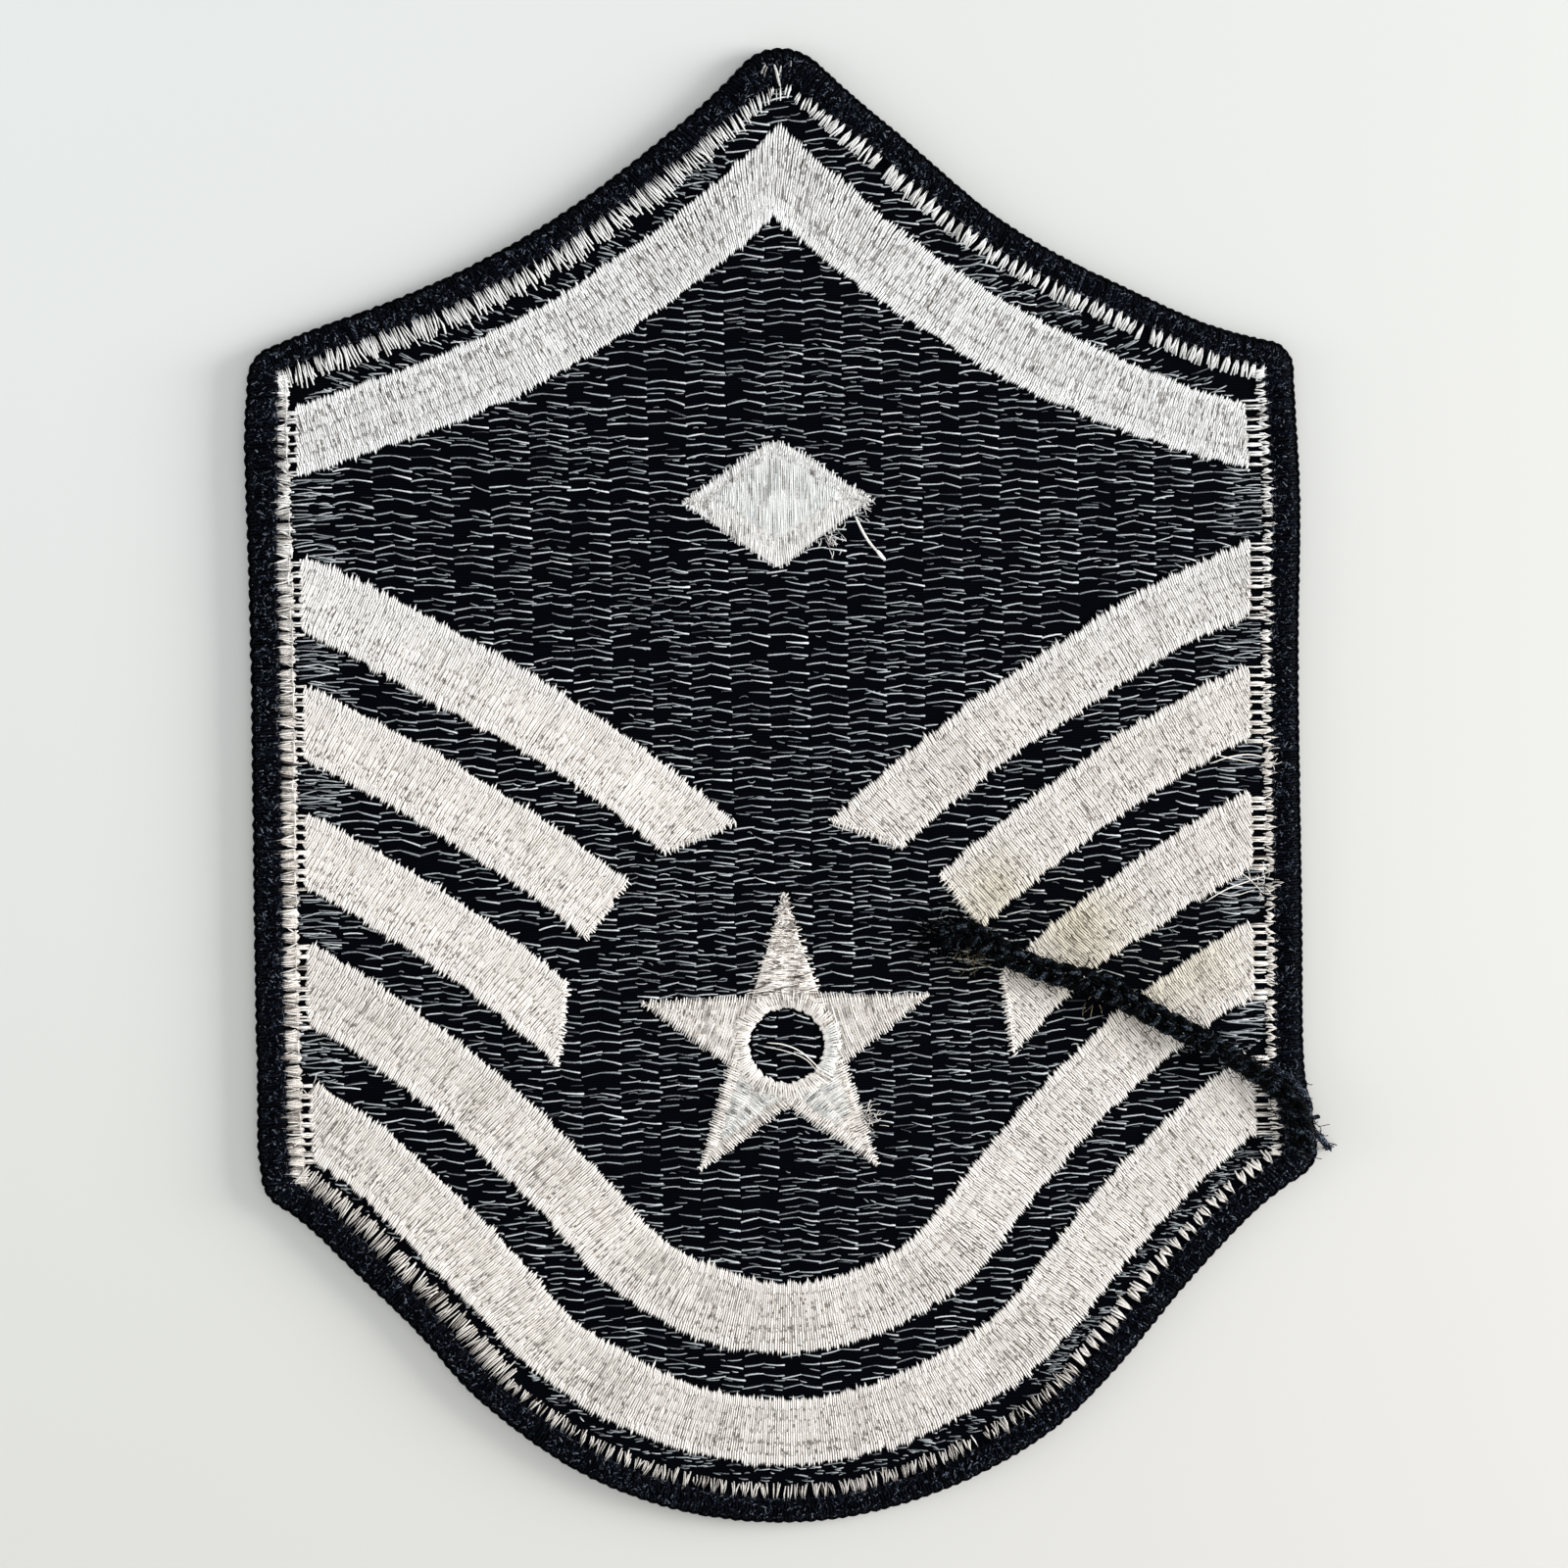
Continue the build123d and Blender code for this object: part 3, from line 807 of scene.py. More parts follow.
def chevron_strokes():
    """The strokes of the chevron: upright at its point, and square across its arms further out."""
    middle_radius = ARM_RADIUS + CHEVRON_INSET + CHEVRON_WIDTH / 2
    reach = band_end_x + 1
    x = np.arange(-reach, reach, SATIN_PITCH * 0.93)
    y = arm_centre[1] - np.sqrt(middle_radius**2 - (np.abs(x) - arm_centre[0]) ** 2)
    place = np.stack((x, y), 1)
    centres = np.stack((arm_centre[0] * np.where(x < 0, -1, 1), np.full(len(x), arm_centre[1])), 1)
    square = np.clip(np.abs(x) / 11, 0, 1)[:, None]
    direction = unit((centres - place) / middle_radius * square + np.array((0, 1)) * (1 - square))
    inner, outer = (
        on_circle(centres, radius, place, direction)
        for radius in (chevron_inner_radius, chevron_inner_radius - CHEVRON_WIDTH)
    )
    return inner, outer, -left_of(direction)


def rocker_strokes(name):
    """The strokes of a stripe that runs round the foot."""
    inset = STRIPES[name] + BAND_WIDTH / 2
    turn = FOOT_HALF_ANGLE - pi / 2
    radius = FLANK_RADIUS + inset
    end_bearing = acos((band_end_x + 1 - flank_centre[0]) / radius)
    right = np.concatenate((
        arc(foot_centre, FOOT_RADIUS - inset, -pi / 2, turn, 200),
        arc(flank_centre, radius, turn + pi, end_bearing, 200),
    ))
    guide = Guide(np.concatenate((right[::-1] * (-1, 1), right[1:])))
    stations = np.arange(0, guide.length, SATIN_PITCH)
    place, inward = guide.place(stations), guide.inward(stations)
    along = -left_of(inward) * np.clip(-place[:, :1] / 12, -1, 1)
    return place - inward * BAND_WIDTH / 2, place + inward * BAND_WIDTH / 2, along


def bar_strokes(name, side):
    """The strokes of a bar on one side of the patch, the cut at its inner end, and that cut's two corners."""
    low_radius = FLANK_RADIUS + STRIPES[name]
    to_star = star_centre - flank_centre
    reach = hypot(*to_star)
    clear = star_radius + STAR_CLEARANCE
    tips = []
    for radius in (low_radius, low_radius + BAND_WIDTH):
        share = (radius**2 + reach**2 - clear**2) / (2 * radius * reach)
        tips.append(flank_centre + radius * heading(pi - asin(to_star[1] / reach) - acos(min(1, share))))
    cut_normal = left_of(unit(tips[1] - tips[0]))
    if cut_normal[0] > 0:
        cut_normal = -cut_normal
    middle = low_radius + BAND_WIDTH / 2
    start = acos((band_end_x + 1 - flank_centre[0]) / middle)
    end = bearing(flank_centre, (tips[0] + tips[1]) / 2) + 4 / middle
    outward = heading(np.arange(start, end, SATIN_PITCH / middle))
    low, high = flank_centre + outward * low_radius, flank_centre + outward * (low_radius + BAND_WIDTH)
    flip = np.array((side, 1))
    cut = (cut_normal * flip, tips[0] @ cut_normal)
    return low * flip, high * flip, left_of(outward) * flip, cut, tips * flip


def lay_cut_fringe(threads, corners, outward, painted_sheen, draw):
    """Lays short spikes out of the cut at a bar's inner end."""
    run = corners[1] - corners[0]
    count = round(hypot(*run) / SATIN_PITCH)
    root = corners[0] + run * (np.arange(count)[:, None] + 0.5) / count + draw.normal(0, 0.06, (count, 2))
    reach = outward * draw.uniform(0.08, 0.50, (count, 1))
    tip = root + reach + unit(run) * draw.normal(-0.1, 0.12, (count, 1))
    segments(threads, root - outward * 0.5, tip, "cut_fringe", draw, painted_sheen=painted_sheen)


def make_stripes():
    """All the stripes, on the back and on the worn side."""
    strokes = {"chevron": (*chevron_strokes(), "chevron", [], None)}
    for name in ROCKERS:
        strokes[name] = (*rocker_strokes(name), "bar", [], None)
    for name in BARS:
        for side, word in ((1, "right"), (-1, "left")):
            low, high, along, cut, corners = bar_strokes(name, side)
            strokes[f"{name}_{word}"] = (low, high, along, "bar", [cut], corners)
    ends = [(np.array((side, 0.0)), band_end_x) for side in (1.0, -1.0)]
    for number, (name, (low, high, along, pattern, cuts, corners)) in enumerate(strokes.items()):
        draw = np.random.default_rng(100 + number)
        back, front = Threads(), Threads()
        # painted sheen: the left bars' strokes are painted lighter and the right bars' darker, for how the
        # light catches their slant
        painted_sheen = 0.08 if name.endswith("left") else -0.03
        lay_back_satin(back, low, high, along, pattern, ends + cuts, painted_sheen, draw)
        if cuts:
            lay_cut_fringe(back, corners, cuts[0][0], painted_sheen, draw)
        back.piece(f"{name}_satin_back", back_white, "back_thread", f"back_{name}")
        lay_front_satin(front, low, high, ends + cuts, draw)
        front.piece(f"{name}_satin_front", front_white, "front_thread", f"front_{name}")


# The star and its ring. The upper arm has strokes right across; each of the others has two rims and a seam.
RING_OUTER_RADIUS = 5.3
STAR_PITCH = 0.26
UPPER_ARM = {
    "columns": ("start", "end"),
    "strokes": [(-1.0, -0.45), (-0.55, 0.1), (-0.1, 0.5), (0.4, 1.0), (-0.75, -0.2), (0.1, 0.7)],
    "fray": (-0.20, 0.42),
}
LOWER_FRAY = (-0.14, 0.30)


def star_arm(number):
    """The axis of one of the star's arms, the direction to its left, and half its width by the way out."""
    axis = heading(pi / 2 + number * 2 * pi / STAR_POINTS)
    notch = star_radius * STAR_NOTCH_SHARE
    root = notch * cos(pi / STAR_POINTS)
    return axis, left_of(axis), notch * sin(pi / STAR_POINTS) / (star_radius - root)


def lay_upper_arm(back, centre, axis, left, half, draw):
    """The strokes on the back of the star's upper arm, from places along its middle."""
    count = len(half)
    for start, end in UPPER_ARM["strokes"]:
        tilt = axis * draw.normal(0, 0.14, (count, 1))
        p, q = (
            centre + left * (share * (half + draw.uniform(*UPPER_ARM["fray"], count)))[:, None]
            for share in (start, end)
        )
        p, q = p - tilt, q + tilt
        keep = draw.random(count) > 0.12
        segments(back, p[keep], q[keep], "upper_arm", draw)
        slits(back, p + axis * 0.09, q + axis * 0.09, 0.42, draw, 0.10)


def lay_lower_arm(back, panels, number, out, centre, axis, left, half, draw):
    """The strokes on the back of one of the other arms: two rims, and panels that meet in a seam."""
    count = len(half)
    lean = 0.10 if number in (1, 4) else 0.22
    between = axis * 0.12
    inside = half - np.minimum(half, 1.05 + draw.normal(0, 0.08, count))
    flat = (number == 2) | ((number == 3) & (out < star_radius * 0.62))
    plain, smooth = (inside > 0.15) & ~flat, (inside > 0.15) & flat
    for side in (1, -1):
        toward = left * side
        ragged = half + draw.uniform(*LOWER_FRAY, count)
        tip = centre + toward * ragged[:, None] + axis * (lean * 0.9)
        rim = centre + toward * (inside - 0.12)[:, None] - axis * lean * 0.3
        segments(back, tip, rim, "rim", draw)
        slits(back, tip + between, rim + between, 0.45, draw, 0.12)
        tuck = centre + toward * (inside + 0.15)[:, None]
        seam = centre - toward * 0.12 - axis * lean
        segments(back, tuck[plain], seam[plain], "panel", draw)
        slits(back, tuck[plain] + between, seam[plain] + between, 0.50, draw, 0.09)
        segments(panels, tuck[smooth], seam[smooth], "flat_panel", draw)
        fold = tuck[smooth] + axis * 0.1
        slits(back, fold - toward * 0.2, fold + toward * 0.2, 0.7, draw, 0.12)
        slits(back, tuck[smooth] + between, seam[smooth] + between, 0.34, draw, 0.10)


def lay_ring(back, front, panels, draw):
    """The ring round the star's hole, on both sides. Its strokes on the right lie flat."""
    around = np.arange(0, 2 * pi, STAR_PITCH * 0.92 / 4.4)
    ray = heading(around)
    inner = (STAR_HOLE_RADIUS + 0.16 + draw.normal(0, 0.09, len(around)))[:, None]
    outer = (RING_OUTER_RADIUS + draw.normal(0, 0.16, len(around)))[:, None]
    lean = left_of(ray) * 0.12
    p, q = star_centre + ray * inner - lean, star_centre + ray * outer + lean
    flat = np.abs((around + pi) % (2 * pi) - pi + radians(8)) < radians(30)
    underlay(back, star_centre + ray * (inner + 0.15), star_centre + ray * (outer - 0.2), 0.40, 0.02)
    segments(back, p[~flat], q[~flat], "ring", draw)
    segments(panels, p[flat], q[flat], "flat_ring", draw)
    slits(back, (p + lean)[~flat], (q + lean)[~flat], 0.50, draw, 0.22)
    worn_segments(front, star_centre + ray * inner, star_centre + ray * outer, "worn_ring", draw)


def make_star():
    """The star's arms and ring, on the back and on the worn side."""
    draw = np.random.default_rng(200)
    back, front, panels = Threads(), Threads(), Threads()
    for number in range(STAR_POINTS):
        axis, left, slope = star_arm(number)
        pitch = STAR_PITCH * (0.72 if number == 0 else 0.9)
        out = np.arange(RING_OUTER_RADIUS - 1.3, star_radius + 0.1, pitch)
        half = np.clip(slope * (star_radius - out) + 0.10, 0.1, None)
        centre = star_centre + axis * out[:, None]
        cover = left * np.clip(half - 0.35, 0.05, None)[:, None]
        underlay(back, centre - cover, centre + cover, 0.34, -0.10)
        if number == 0:
            lay_upper_arm(back, centre, axis, left, half, draw)
        else:
            lay_lower_arm(back, panels, number, out, centre, axis, left, half, draw)
        cover = left * half[:, None] * 1.02
        worn_segments(front, centre + cover, centre - cover, "worn_arm", draw)
    lay_ring(back, front, panels, draw)
    back.piece("star_satin_back", back_white, "back_thread", "back_star")
    front.piece("star_satin_front", front_white, "front_thread", "front_star")
    panels.piece("star_flat_panels", back_cool, "back_thread")


# The lozenge: upright strokes in three zones, and loose ends that lie flat at a pixel by its right corner
SMUDGE = (871, 508)
SMUDGE_ENDS = 50


def make_lozenge():
    """The lozenge on the back and on the worn side, and the flat panel in the middle of its back."""
    draw = np.random.default_rng(210)
    back, front, panel = Threads(), Threads(), Threads()
    x = np.arange(-lozenge_half[0], lozenge_half[0] + 0.01, 0.20)
    count = len(x)

    def at(offset, y):
        return lozenge_centre + np.stack((x + offset, y), 1)

    half = lozenge_half[1] * (1 - np.abs(x) / lozenge_half[0]) + 0.1
    upper = np.minimum(1.25, half) * draw.uniform(0.85, 1.15, count)
    lower = np.minimum(2.5, half) * draw.uniform(0.9, 1.1, count)
    lean = 0.16 * np.sign(x) + draw.normal(0, 0.04, count)
    peak = half * 0.97 - 0.42 * np.exp(-(x / 1.1) ** 2)
    top = peak + draw.uniform(-0.16, 0.36, count)
    foot = -half
    bottom = foot - draw.uniform(-0.16, 0.34, count)
    underlay(back, at(0, peak - 0.2), at(0, foot + 0.15), 0.40, -0.10)
    inside = np.abs(x) < 5.9
    high, low = peak - upper * 0.9, foot + lower * 0.85
    middle = draw.normal(0.3, 0.5, count)
    for start, end, kind in (
        (high, middle - 0.3, "lozenge_panel_high"), (middle + 0.3, low, "lozenge_panel_low"),
    ):
        segments(panel, at(0.01, start)[inside], at(0, end)[inside], kind, draw)
    crowd = inside & (draw.random(count) < np.exp(-(x / 3.2) ** 2))
    slits(back, at(0.1, high)[crowd], at(0.1, low)[crowd], 0.8, draw, 0.10)
    slits(back, at(0.1, high)[inside], at(0.1, middle)[inside], 0.25, draw, 0.10)
    segments(back, at(0.03, peak - upper * 0.55), at(0, peak - upper * 1.15), "upper_tuck", draw)
    segments(back, at(lean, top), at(0, top - upper * 0.8), "upper_fringe", draw)
    segments(back, at(0, foot + lower * 1.1), at(0, foot + lower * 0.5), "lower_tuck", draw)
    segments(back, at(0, foot + lower * 0.65), at(lean, bottom), "lower_fringe", draw)
    for start, end, share in (
        (foot + lower * 0.8, bottom, 0.25), (peak - upper * 0.8, peak - upper * 1.1, 0.55),
        (foot + lower * 0.9, foot + lower * 1.15, 0.55),
    ):
        slits(back, at(0.1, start), at(0.1, end), share, draw, 0.13)
    start = in_photo([SMUDGE], 2.3) + draw.normal(0, 1, (SMUDGE_ENDS, 2)) * (0.35, 0.45)
    run = heading(radians(70) + draw.normal(0, 0.5, SMUDGE_ENDS)) * draw.uniform(0.2, 0.5, (SMUDGE_ENDS, 1))
    segments(back, start - run, start + run, "smudge", draw)
    worn_segments(front, at(0, half), at(0, foot), "worn_lozenge", draw)
    back.piece("lozenge_satin_back", back_white, "back_thread", "back_lozenge")
    front.piece("lozenge_satin_front", front_white, "front_thread", "front_lozenge")
    panel.piece("lozenge_flat_panel", back_cool, "back_thread")


# The ground cloth and the grey stitches that lock its rows
CLOTH_INSET = 0.9
CLOTH_MIDDLE = (0.0, -8.0)


def make_ground():
    """The cloth as one closed sheet: rings of its own shape, above and below."""
    count, rings = 600, 3
    rim = edge.inside(np.linspace(0, edge.length, count, endpoint=False), CLOTH_INSET)
    shares = np.linspace(1, 0.02, rings)[:, None, None]
    plan = (CLOTH_MIDDLE + (rim - CLOTH_MIDDLE) * shares).reshape(-1, 2)
    vertices = np.concatenate((raised(plan, cloth_top), raised(plan, cloth_bottom)))
    vertices[:, :2] += shift_of(vertices[:, :2])
    here = np.arange(count)
    after = (here + 1) % count
    quads = np.concatenate([
        np.stack((low + here, low + after, low + count + after, low + count + here), 1)
        for low in range(0, (rings - 1) * count, count)
    ])
    wall = np.stack((here, here + len(plan), after + len(plan), after), 1)
    cap = (rings - 1) * count + here
    under = quads[:, ::-1] + len(plan)
    loops = np.concatenate((quads.ravel(), under.ravel(), wall.ravel(), cap, (cap + len(plan))[::-1]))
    sizes = np.concatenate((np.full(len(quads) * 2 + len(wall), 4), (count, count)))
    cloth = write_mesh("ground_sheet", vertices, loops, sizes, smooth=False)
    settle(cloth, ground_material(), "navy_cloth", "ground_cloth")


def longest_free(free):
    """The first and last sample of the longest free run in each row of samples, and its length."""
    best = np.zeros((len(free), 2), int)
    best_length, run = np.zeros(len(free), int), np.zeros(len(free), int)
    for sample in range(free.shape[1]):
        run = np.where(free[:, sample], run + 1, 0)
        better = run > best_length
        best[better, 0] = sample - run[better] + 1
        best[better, 1] = sample
        best_length = np.maximum(best_length, run)
    return best, best_length


# The long dashes stay away from the edge, furthest round the foot and by the arms
ROW_CLEARANCE = 3.7
FOOT_CLEARANCE = 1.7
ARM_CLEARANCE = 2.0


def row_clearance(points):
    """How far in from the edge the long grey dashes stay away."""
    x, y = points[..., 0], points[..., 1]
    round_foot = (foot_inset(points) < ROCKER_INSET) & (y < -34)
    by_arm = (arm_inset(points) < CHEVRON_INSET) & ((x < -10) | (x > 30))
    return ROW_CLEARANCE + FOOT_CLEARANCE * round_foot + ARM_CLEARANCE * by_arm


DASH_LEVEL = 0.11
DASH_MARGIN = 0.1
DASH_SAMPLES = 16


def lay_dashes(threads, start, end, half, tone, draw, bend=0.0, taper=(0.6, 1.0, 1.0, 0.7)):
    """Lays grey dashes on the ground, cut back where they meet a mark or the edge row."""
    points = start[:, None] + (end - start)[:, None] * np.linspace(0, 1, DASH_SAMPLES)[:, None]
    free = ~in_marks(points, DASH_MARGIN, past_ends=2.0) & (edge_inset(points) > row_clearance(points))
    best, length = longest_free(free)
    keep = length >= 3
    tone = np.broadcast_to(tone, keep.shape)[keep]
    start, end, best = start[keep], end[keep], best[keep] / (DASH_SAMPLES - 1)
    count = len(start)
    steps = best[:, :1] + (best[:, 1:] - best[:, :1]) * np.array((0.0, 0.3, 0.7, 1.0))
    plan = start[:, None] + (end - start)[:, None] * steps[..., None]
    plan[..., 1] += draw.normal(bend, 0.04, (count, 1)) * np.array((0, 1, 1, 0))
    heights = cloth_top + DASH_LEVEL + np.array((-0.02, 0.03, 0.03, -0.02)) + draw.normal(0, 0.02, (count, 1))
    widths = half * draw.uniform(0.75, 1.15, (count, 1)) * np.array(taper)
    threads.add(raised(plan, heights), widths, 0.08, tone + draw.normal(0, 0.21, count))


# The locking stitches lie in units side by side. Left of the star the rows between them are nearly whole.
ROW_PITCH = 1.0
UNIT_WIDTH = 3.78
UNIT_EDGE = -1.04
FULL_ROWS = (-11.0, -9.5, 4.5)
BETWEEN_ROWS = {
    "columns": ("share", "first start", "last start", "tone"),
    "rows": [(0.50, 0.1, 0.9, 0.30), (0.52, 1.2, 2.0, 0.32), (0.46, 2.2, 3.0, 0.34)],
}


def make_dashes():
    """Grey locking stitches: shallow roofs in units, with short pieces between their rows."""
    draw = np.random.default_rng(300)
    threads = Threads()
    units = np.arange(-13, 14)
    edges = UNIT_EDGE + UNIT_WIDTH * units + draw.normal(0, 0.05, len(units))
    shifts = draw.uniform(-0.5, 0.5, len(units))
    x, y = np.meshgrid(edges, np.arange(-72, 73) * ROW_PITCH)
    y = y + shifts + 0.07 * np.sin(y * 0.7 + x)
    x, y = x.ravel(), y.ravel()
    count = len(x)
    peak = x + UNIT_WIDTH / 2 + draw.normal(0, 0.1, count)
    rise = draw.normal(0.22, 0.11, count)
    fall = draw.normal(0.34, 0.12, count)
    height = y + draw.normal(0, 0.10, count)
    left_start = np.stack((x + draw.normal(0.03, 0.10, count), height - rise), 1)
    left_end = np.stack((peak + 0.08, height), 1)
    right_start = np.stack((peak - 0.10, height + draw.normal(0.0, 0.08, count)), 1)
    right_end = np.stack((x + UNIT_WIDTH + draw.normal(0.05, 0.10, count), height - fall), 1)
    here = draw.random(count) > 0.10
    lay_dashes(threads, left_start[here], left_end[here], 0.102, 0.52, draw, 0.02, (1.05, 1.0, 0.9, 0.5))
    here = draw.random(count) > 0.08
    lay_dashes(threads, right_start[here], right_end[here], 0.104, 0.54, draw, -0.02, (0.5, 0.85, 1.05, 1.2))
    crowding = np.sin(x * 0.23 + 1.2) * np.cos(y * 0.17 + 0.4) + 0.6 * np.sin(y * 0.5 + x * 0.11)
    full = nearness(np.stack((x, y), 1), *FULL_ROWS)
    for share, low, high, tone in BETWEEN_ROWS["rows"]:
        here = draw.random(count) < share + 0.22 * crowding + 0.5 * full
        length = draw.uniform(0.4, 1.75, count)
        begin = x + draw.uniform(low, high, count)
        between = height + ROW_PITCH / 2 + draw.normal(0, 0.11, count)
        tilt = draw.normal(-0.04, 0.12, count)
        p, q = np.stack((begin, between), 1), np.stack((begin + length, between + tilt), 1)
        lay_dashes(threads, p[here], q[here], 0.072, (tone + 0.14 * full)[here], draw)
    threads.piece("ground_lock_stitches", grey_thread, "navy_cloth")
    make_side_stitches(draw)


# Grey ends beside the white row. The dim ones lie round the foot, with stations from its middle, and the
# leaning ones by the arms, with stations from the point.
DIM_ENDS = {
    "columns": ("side", "count", "least depth", "first station", "last station"),
    "rows": [
        (-1, 70, 5.0, 30.0, 62.0), (1, 170, 4.3, 30.0, 62.0),
        (-1, 85, 4.1, 0.0, 30.0), (1, 85, 4.1, 0.0, 30.0),
    ],
}
LEANING_ENDS = {
    "columns": ("side", "count", "least depth", "first station", "last station"),
    "rows": [(-1, 135, 4.4, 10.0, 53.0), (1, 75, 4.4, 26.0, 53.0)],
}
SIDE_DASH_DEPTH = {-1: 4.2, 1: 3.7}
SIDE_DASHES = {
    "columns": ("part", "share of length", "share left out", "tone"),
    "rows": [(0, 1.0, 0.1, 0.36), (1, 0.7, 0.35, 0.5)],
}


def lay_ends(threads, begin, run, kind, margin, draw):
    """Lays short grey ends on the ground where both of their tips are clear of the marks."""
    end = begin + run
    keep = ~in_marks(begin, margin) & ~in_marks(end, margin)
    segments(threads, begin[keep], end[keep], kind, draw, base=cloth_top)


def make_side_stitches(draw):
    """Grey stitches beside the straight sides, and short ends round the foot and by the arms."""
    threads = Threads()
    y = np.arange(-62, 55, 0.47)
    count = len(y)
    for side in (-1, 1):
        for part, share, left_out, tone in SIDE_DASHES["rows"]:
            begin = half_width - SIDE_DASH_DEPTH[side] - part * draw.uniform(1.6, 2.6, count)
            length = draw.uniform(1.4, 4.2, count) * share
            height = y + draw.normal(0, 0.09, count)
            p = np.stack((side * begin, height), 1)
            q = np.stack((side * (begin - length), height + draw.normal(0, 0.16, count)), 1)
            here = draw.random(count) > left_out
            lay_dashes(threads, p[here], q[here], 0.085, tone, draw)
    for side, count, least, first, last in DIM_ENDS["rows"]:
        at = draw.uniform(first, last, count)
        begin = edge.inside(at if side > 0 else edge.length - at, draw.uniform(least, 5.7, count))
        run = np.stack((draw.uniform(0.3, 1.3, count), draw.normal(-0.04, 0.12, count)), 1)
        lay_ends(threads, begin, run, "dim_end", 0.0, draw)
    for side, count, least, first, last in LEANING_ENDS["rows"]:
        at = edge.length / 2 - side * draw.uniform(first, last, count)
        begin = edge.inside(at, draw.uniform(least, 6.4, count))
        length = draw.uniform(0.5, 1.5, count)
        run = np.stack((length, side * length * draw.normal(0.38, 0.10, count)), 1)
        lay_ends(threads, begin, run, "leaning_end", -0.05, draw)
    threads.piece("ground_side_stitches", grey_thread, "navy_cloth")


# The row of white stitches inside the border, and the rungs from it to the stripes' ends
TOOTH_PITCH = {"elsewhere": 1.06, "left": 1.15, "right": 0.87, "right_arm": 0.86}
POINT_GAP = 3.3
LEFT_DEPTH = 3.90
RUNG_PITCH = 0.94
LADDER_END = -35.0
straight_x = half_width - 0.5


def reach_of_border(place):
    """How far in from the edge the border's thread shows: most at the point, less by the arms and the foot."""
    x, y = np.abs(place[..., 0]), place[..., 1]
    at_arm = arm_inset(place) < 1.5
    at_apex = np.exp(-(x / 4.5) ** 2) * (y > 0)
    at_foot = (y < -45) * np.clip((-45 - y) / 10, 0, 1)
    at_left_side = place[..., 0] < -straight_x
    left_shoulder = at_left_side * np.clip((y - 25) / 6, 0, 1)
    return 2.65 - 0.30 * at_arm + 0.9 * at_apex - 0.3 * at_foot - 0.15 * at_left_side + 0.45 * left_shoulder


def edge_stations():
    """Where the stitches of the border and its row lie along the edge, closer on the right than on the left."""
    along = np.linspace(0, edge.length, 6000)
    place = edge.place(along)
    x = place[:, 0]
    pitch = np.where((arm_inset(place) < 1) & (x > 3), TOOTH_PITCH["right_arm"], TOOTH_PITCH["elsewhere"])
    at_side = np.where(x < 0, TOOTH_PITCH["left"], TOOTH_PITCH["right"])
    pitch = np.where(np.abs(x) < straight_x, pitch, at_side)
    stitches = np.concatenate(([0], np.cumsum(np.diff(along) / pitch[1:])))
    count = round(stitches[-1])
    return np.interp(np.arange(count) * stitches[-1] / count, stitches, along)


# How the row's bundles spread: half a bundle's width at its outer end, middle and inner end. Each stroke starts
# some way past the border's thread, ends at a depth from the edge, and is ragged at both ends.
BUNDLES = {
    "columns": ("outer", "middle", "inner", "strokes kept", "half_width", "depth", "start", "ragged", "tone"),
    "fan": (0.24, 0.31, 0.42, 0.78, 0.092, 3.74, -0.15, 0.15, 0.34),
    "left_flank": (0.34, 0.40, 0.44, 0.95, 0.094, 4.75, 0.00, 0.24, 0.40),
    "right_flank": (0.10, 0.24, 0.32, 0.92, 0.130, 3.95, -0.15, 0.15, 0.48),
    "arm_grass": (0.38, 0.42, 0.46, 0.98, 0.108, 4.35, -0.25, 0.32, 0.56),
    "arm_beads": (0.10, 0.22, 0.30, 0.88, 0.125, 3.85, -0.42, 0.16, 0.54),
    "left": (0.30, 0.42, 0.58, 0.96, 0.110, 3.98, -0.36, 0.20, 0.30),
    "right": (0.05, 0.26, 0.38, 0.92, 0.120, 3.55, -0.42, 0.13, 0.46),
}


def row_kind(tooth):
    """Which kind of bundle lies at places on the edge."""
    x, y = tooth.T
    kind = np.where((np.abs(x) > 30) & (y < 0), np.where(x > 0, "right_flank", "left_flank"), "fan")
    kind = np.where(arm_inset(tooth) < 1, np.where(x > 0, "arm_beads", "arm_grass"), kind)
    return np.where(np.abs(x) > straight_x, np.where(x > 0, "right", "left"), kind)


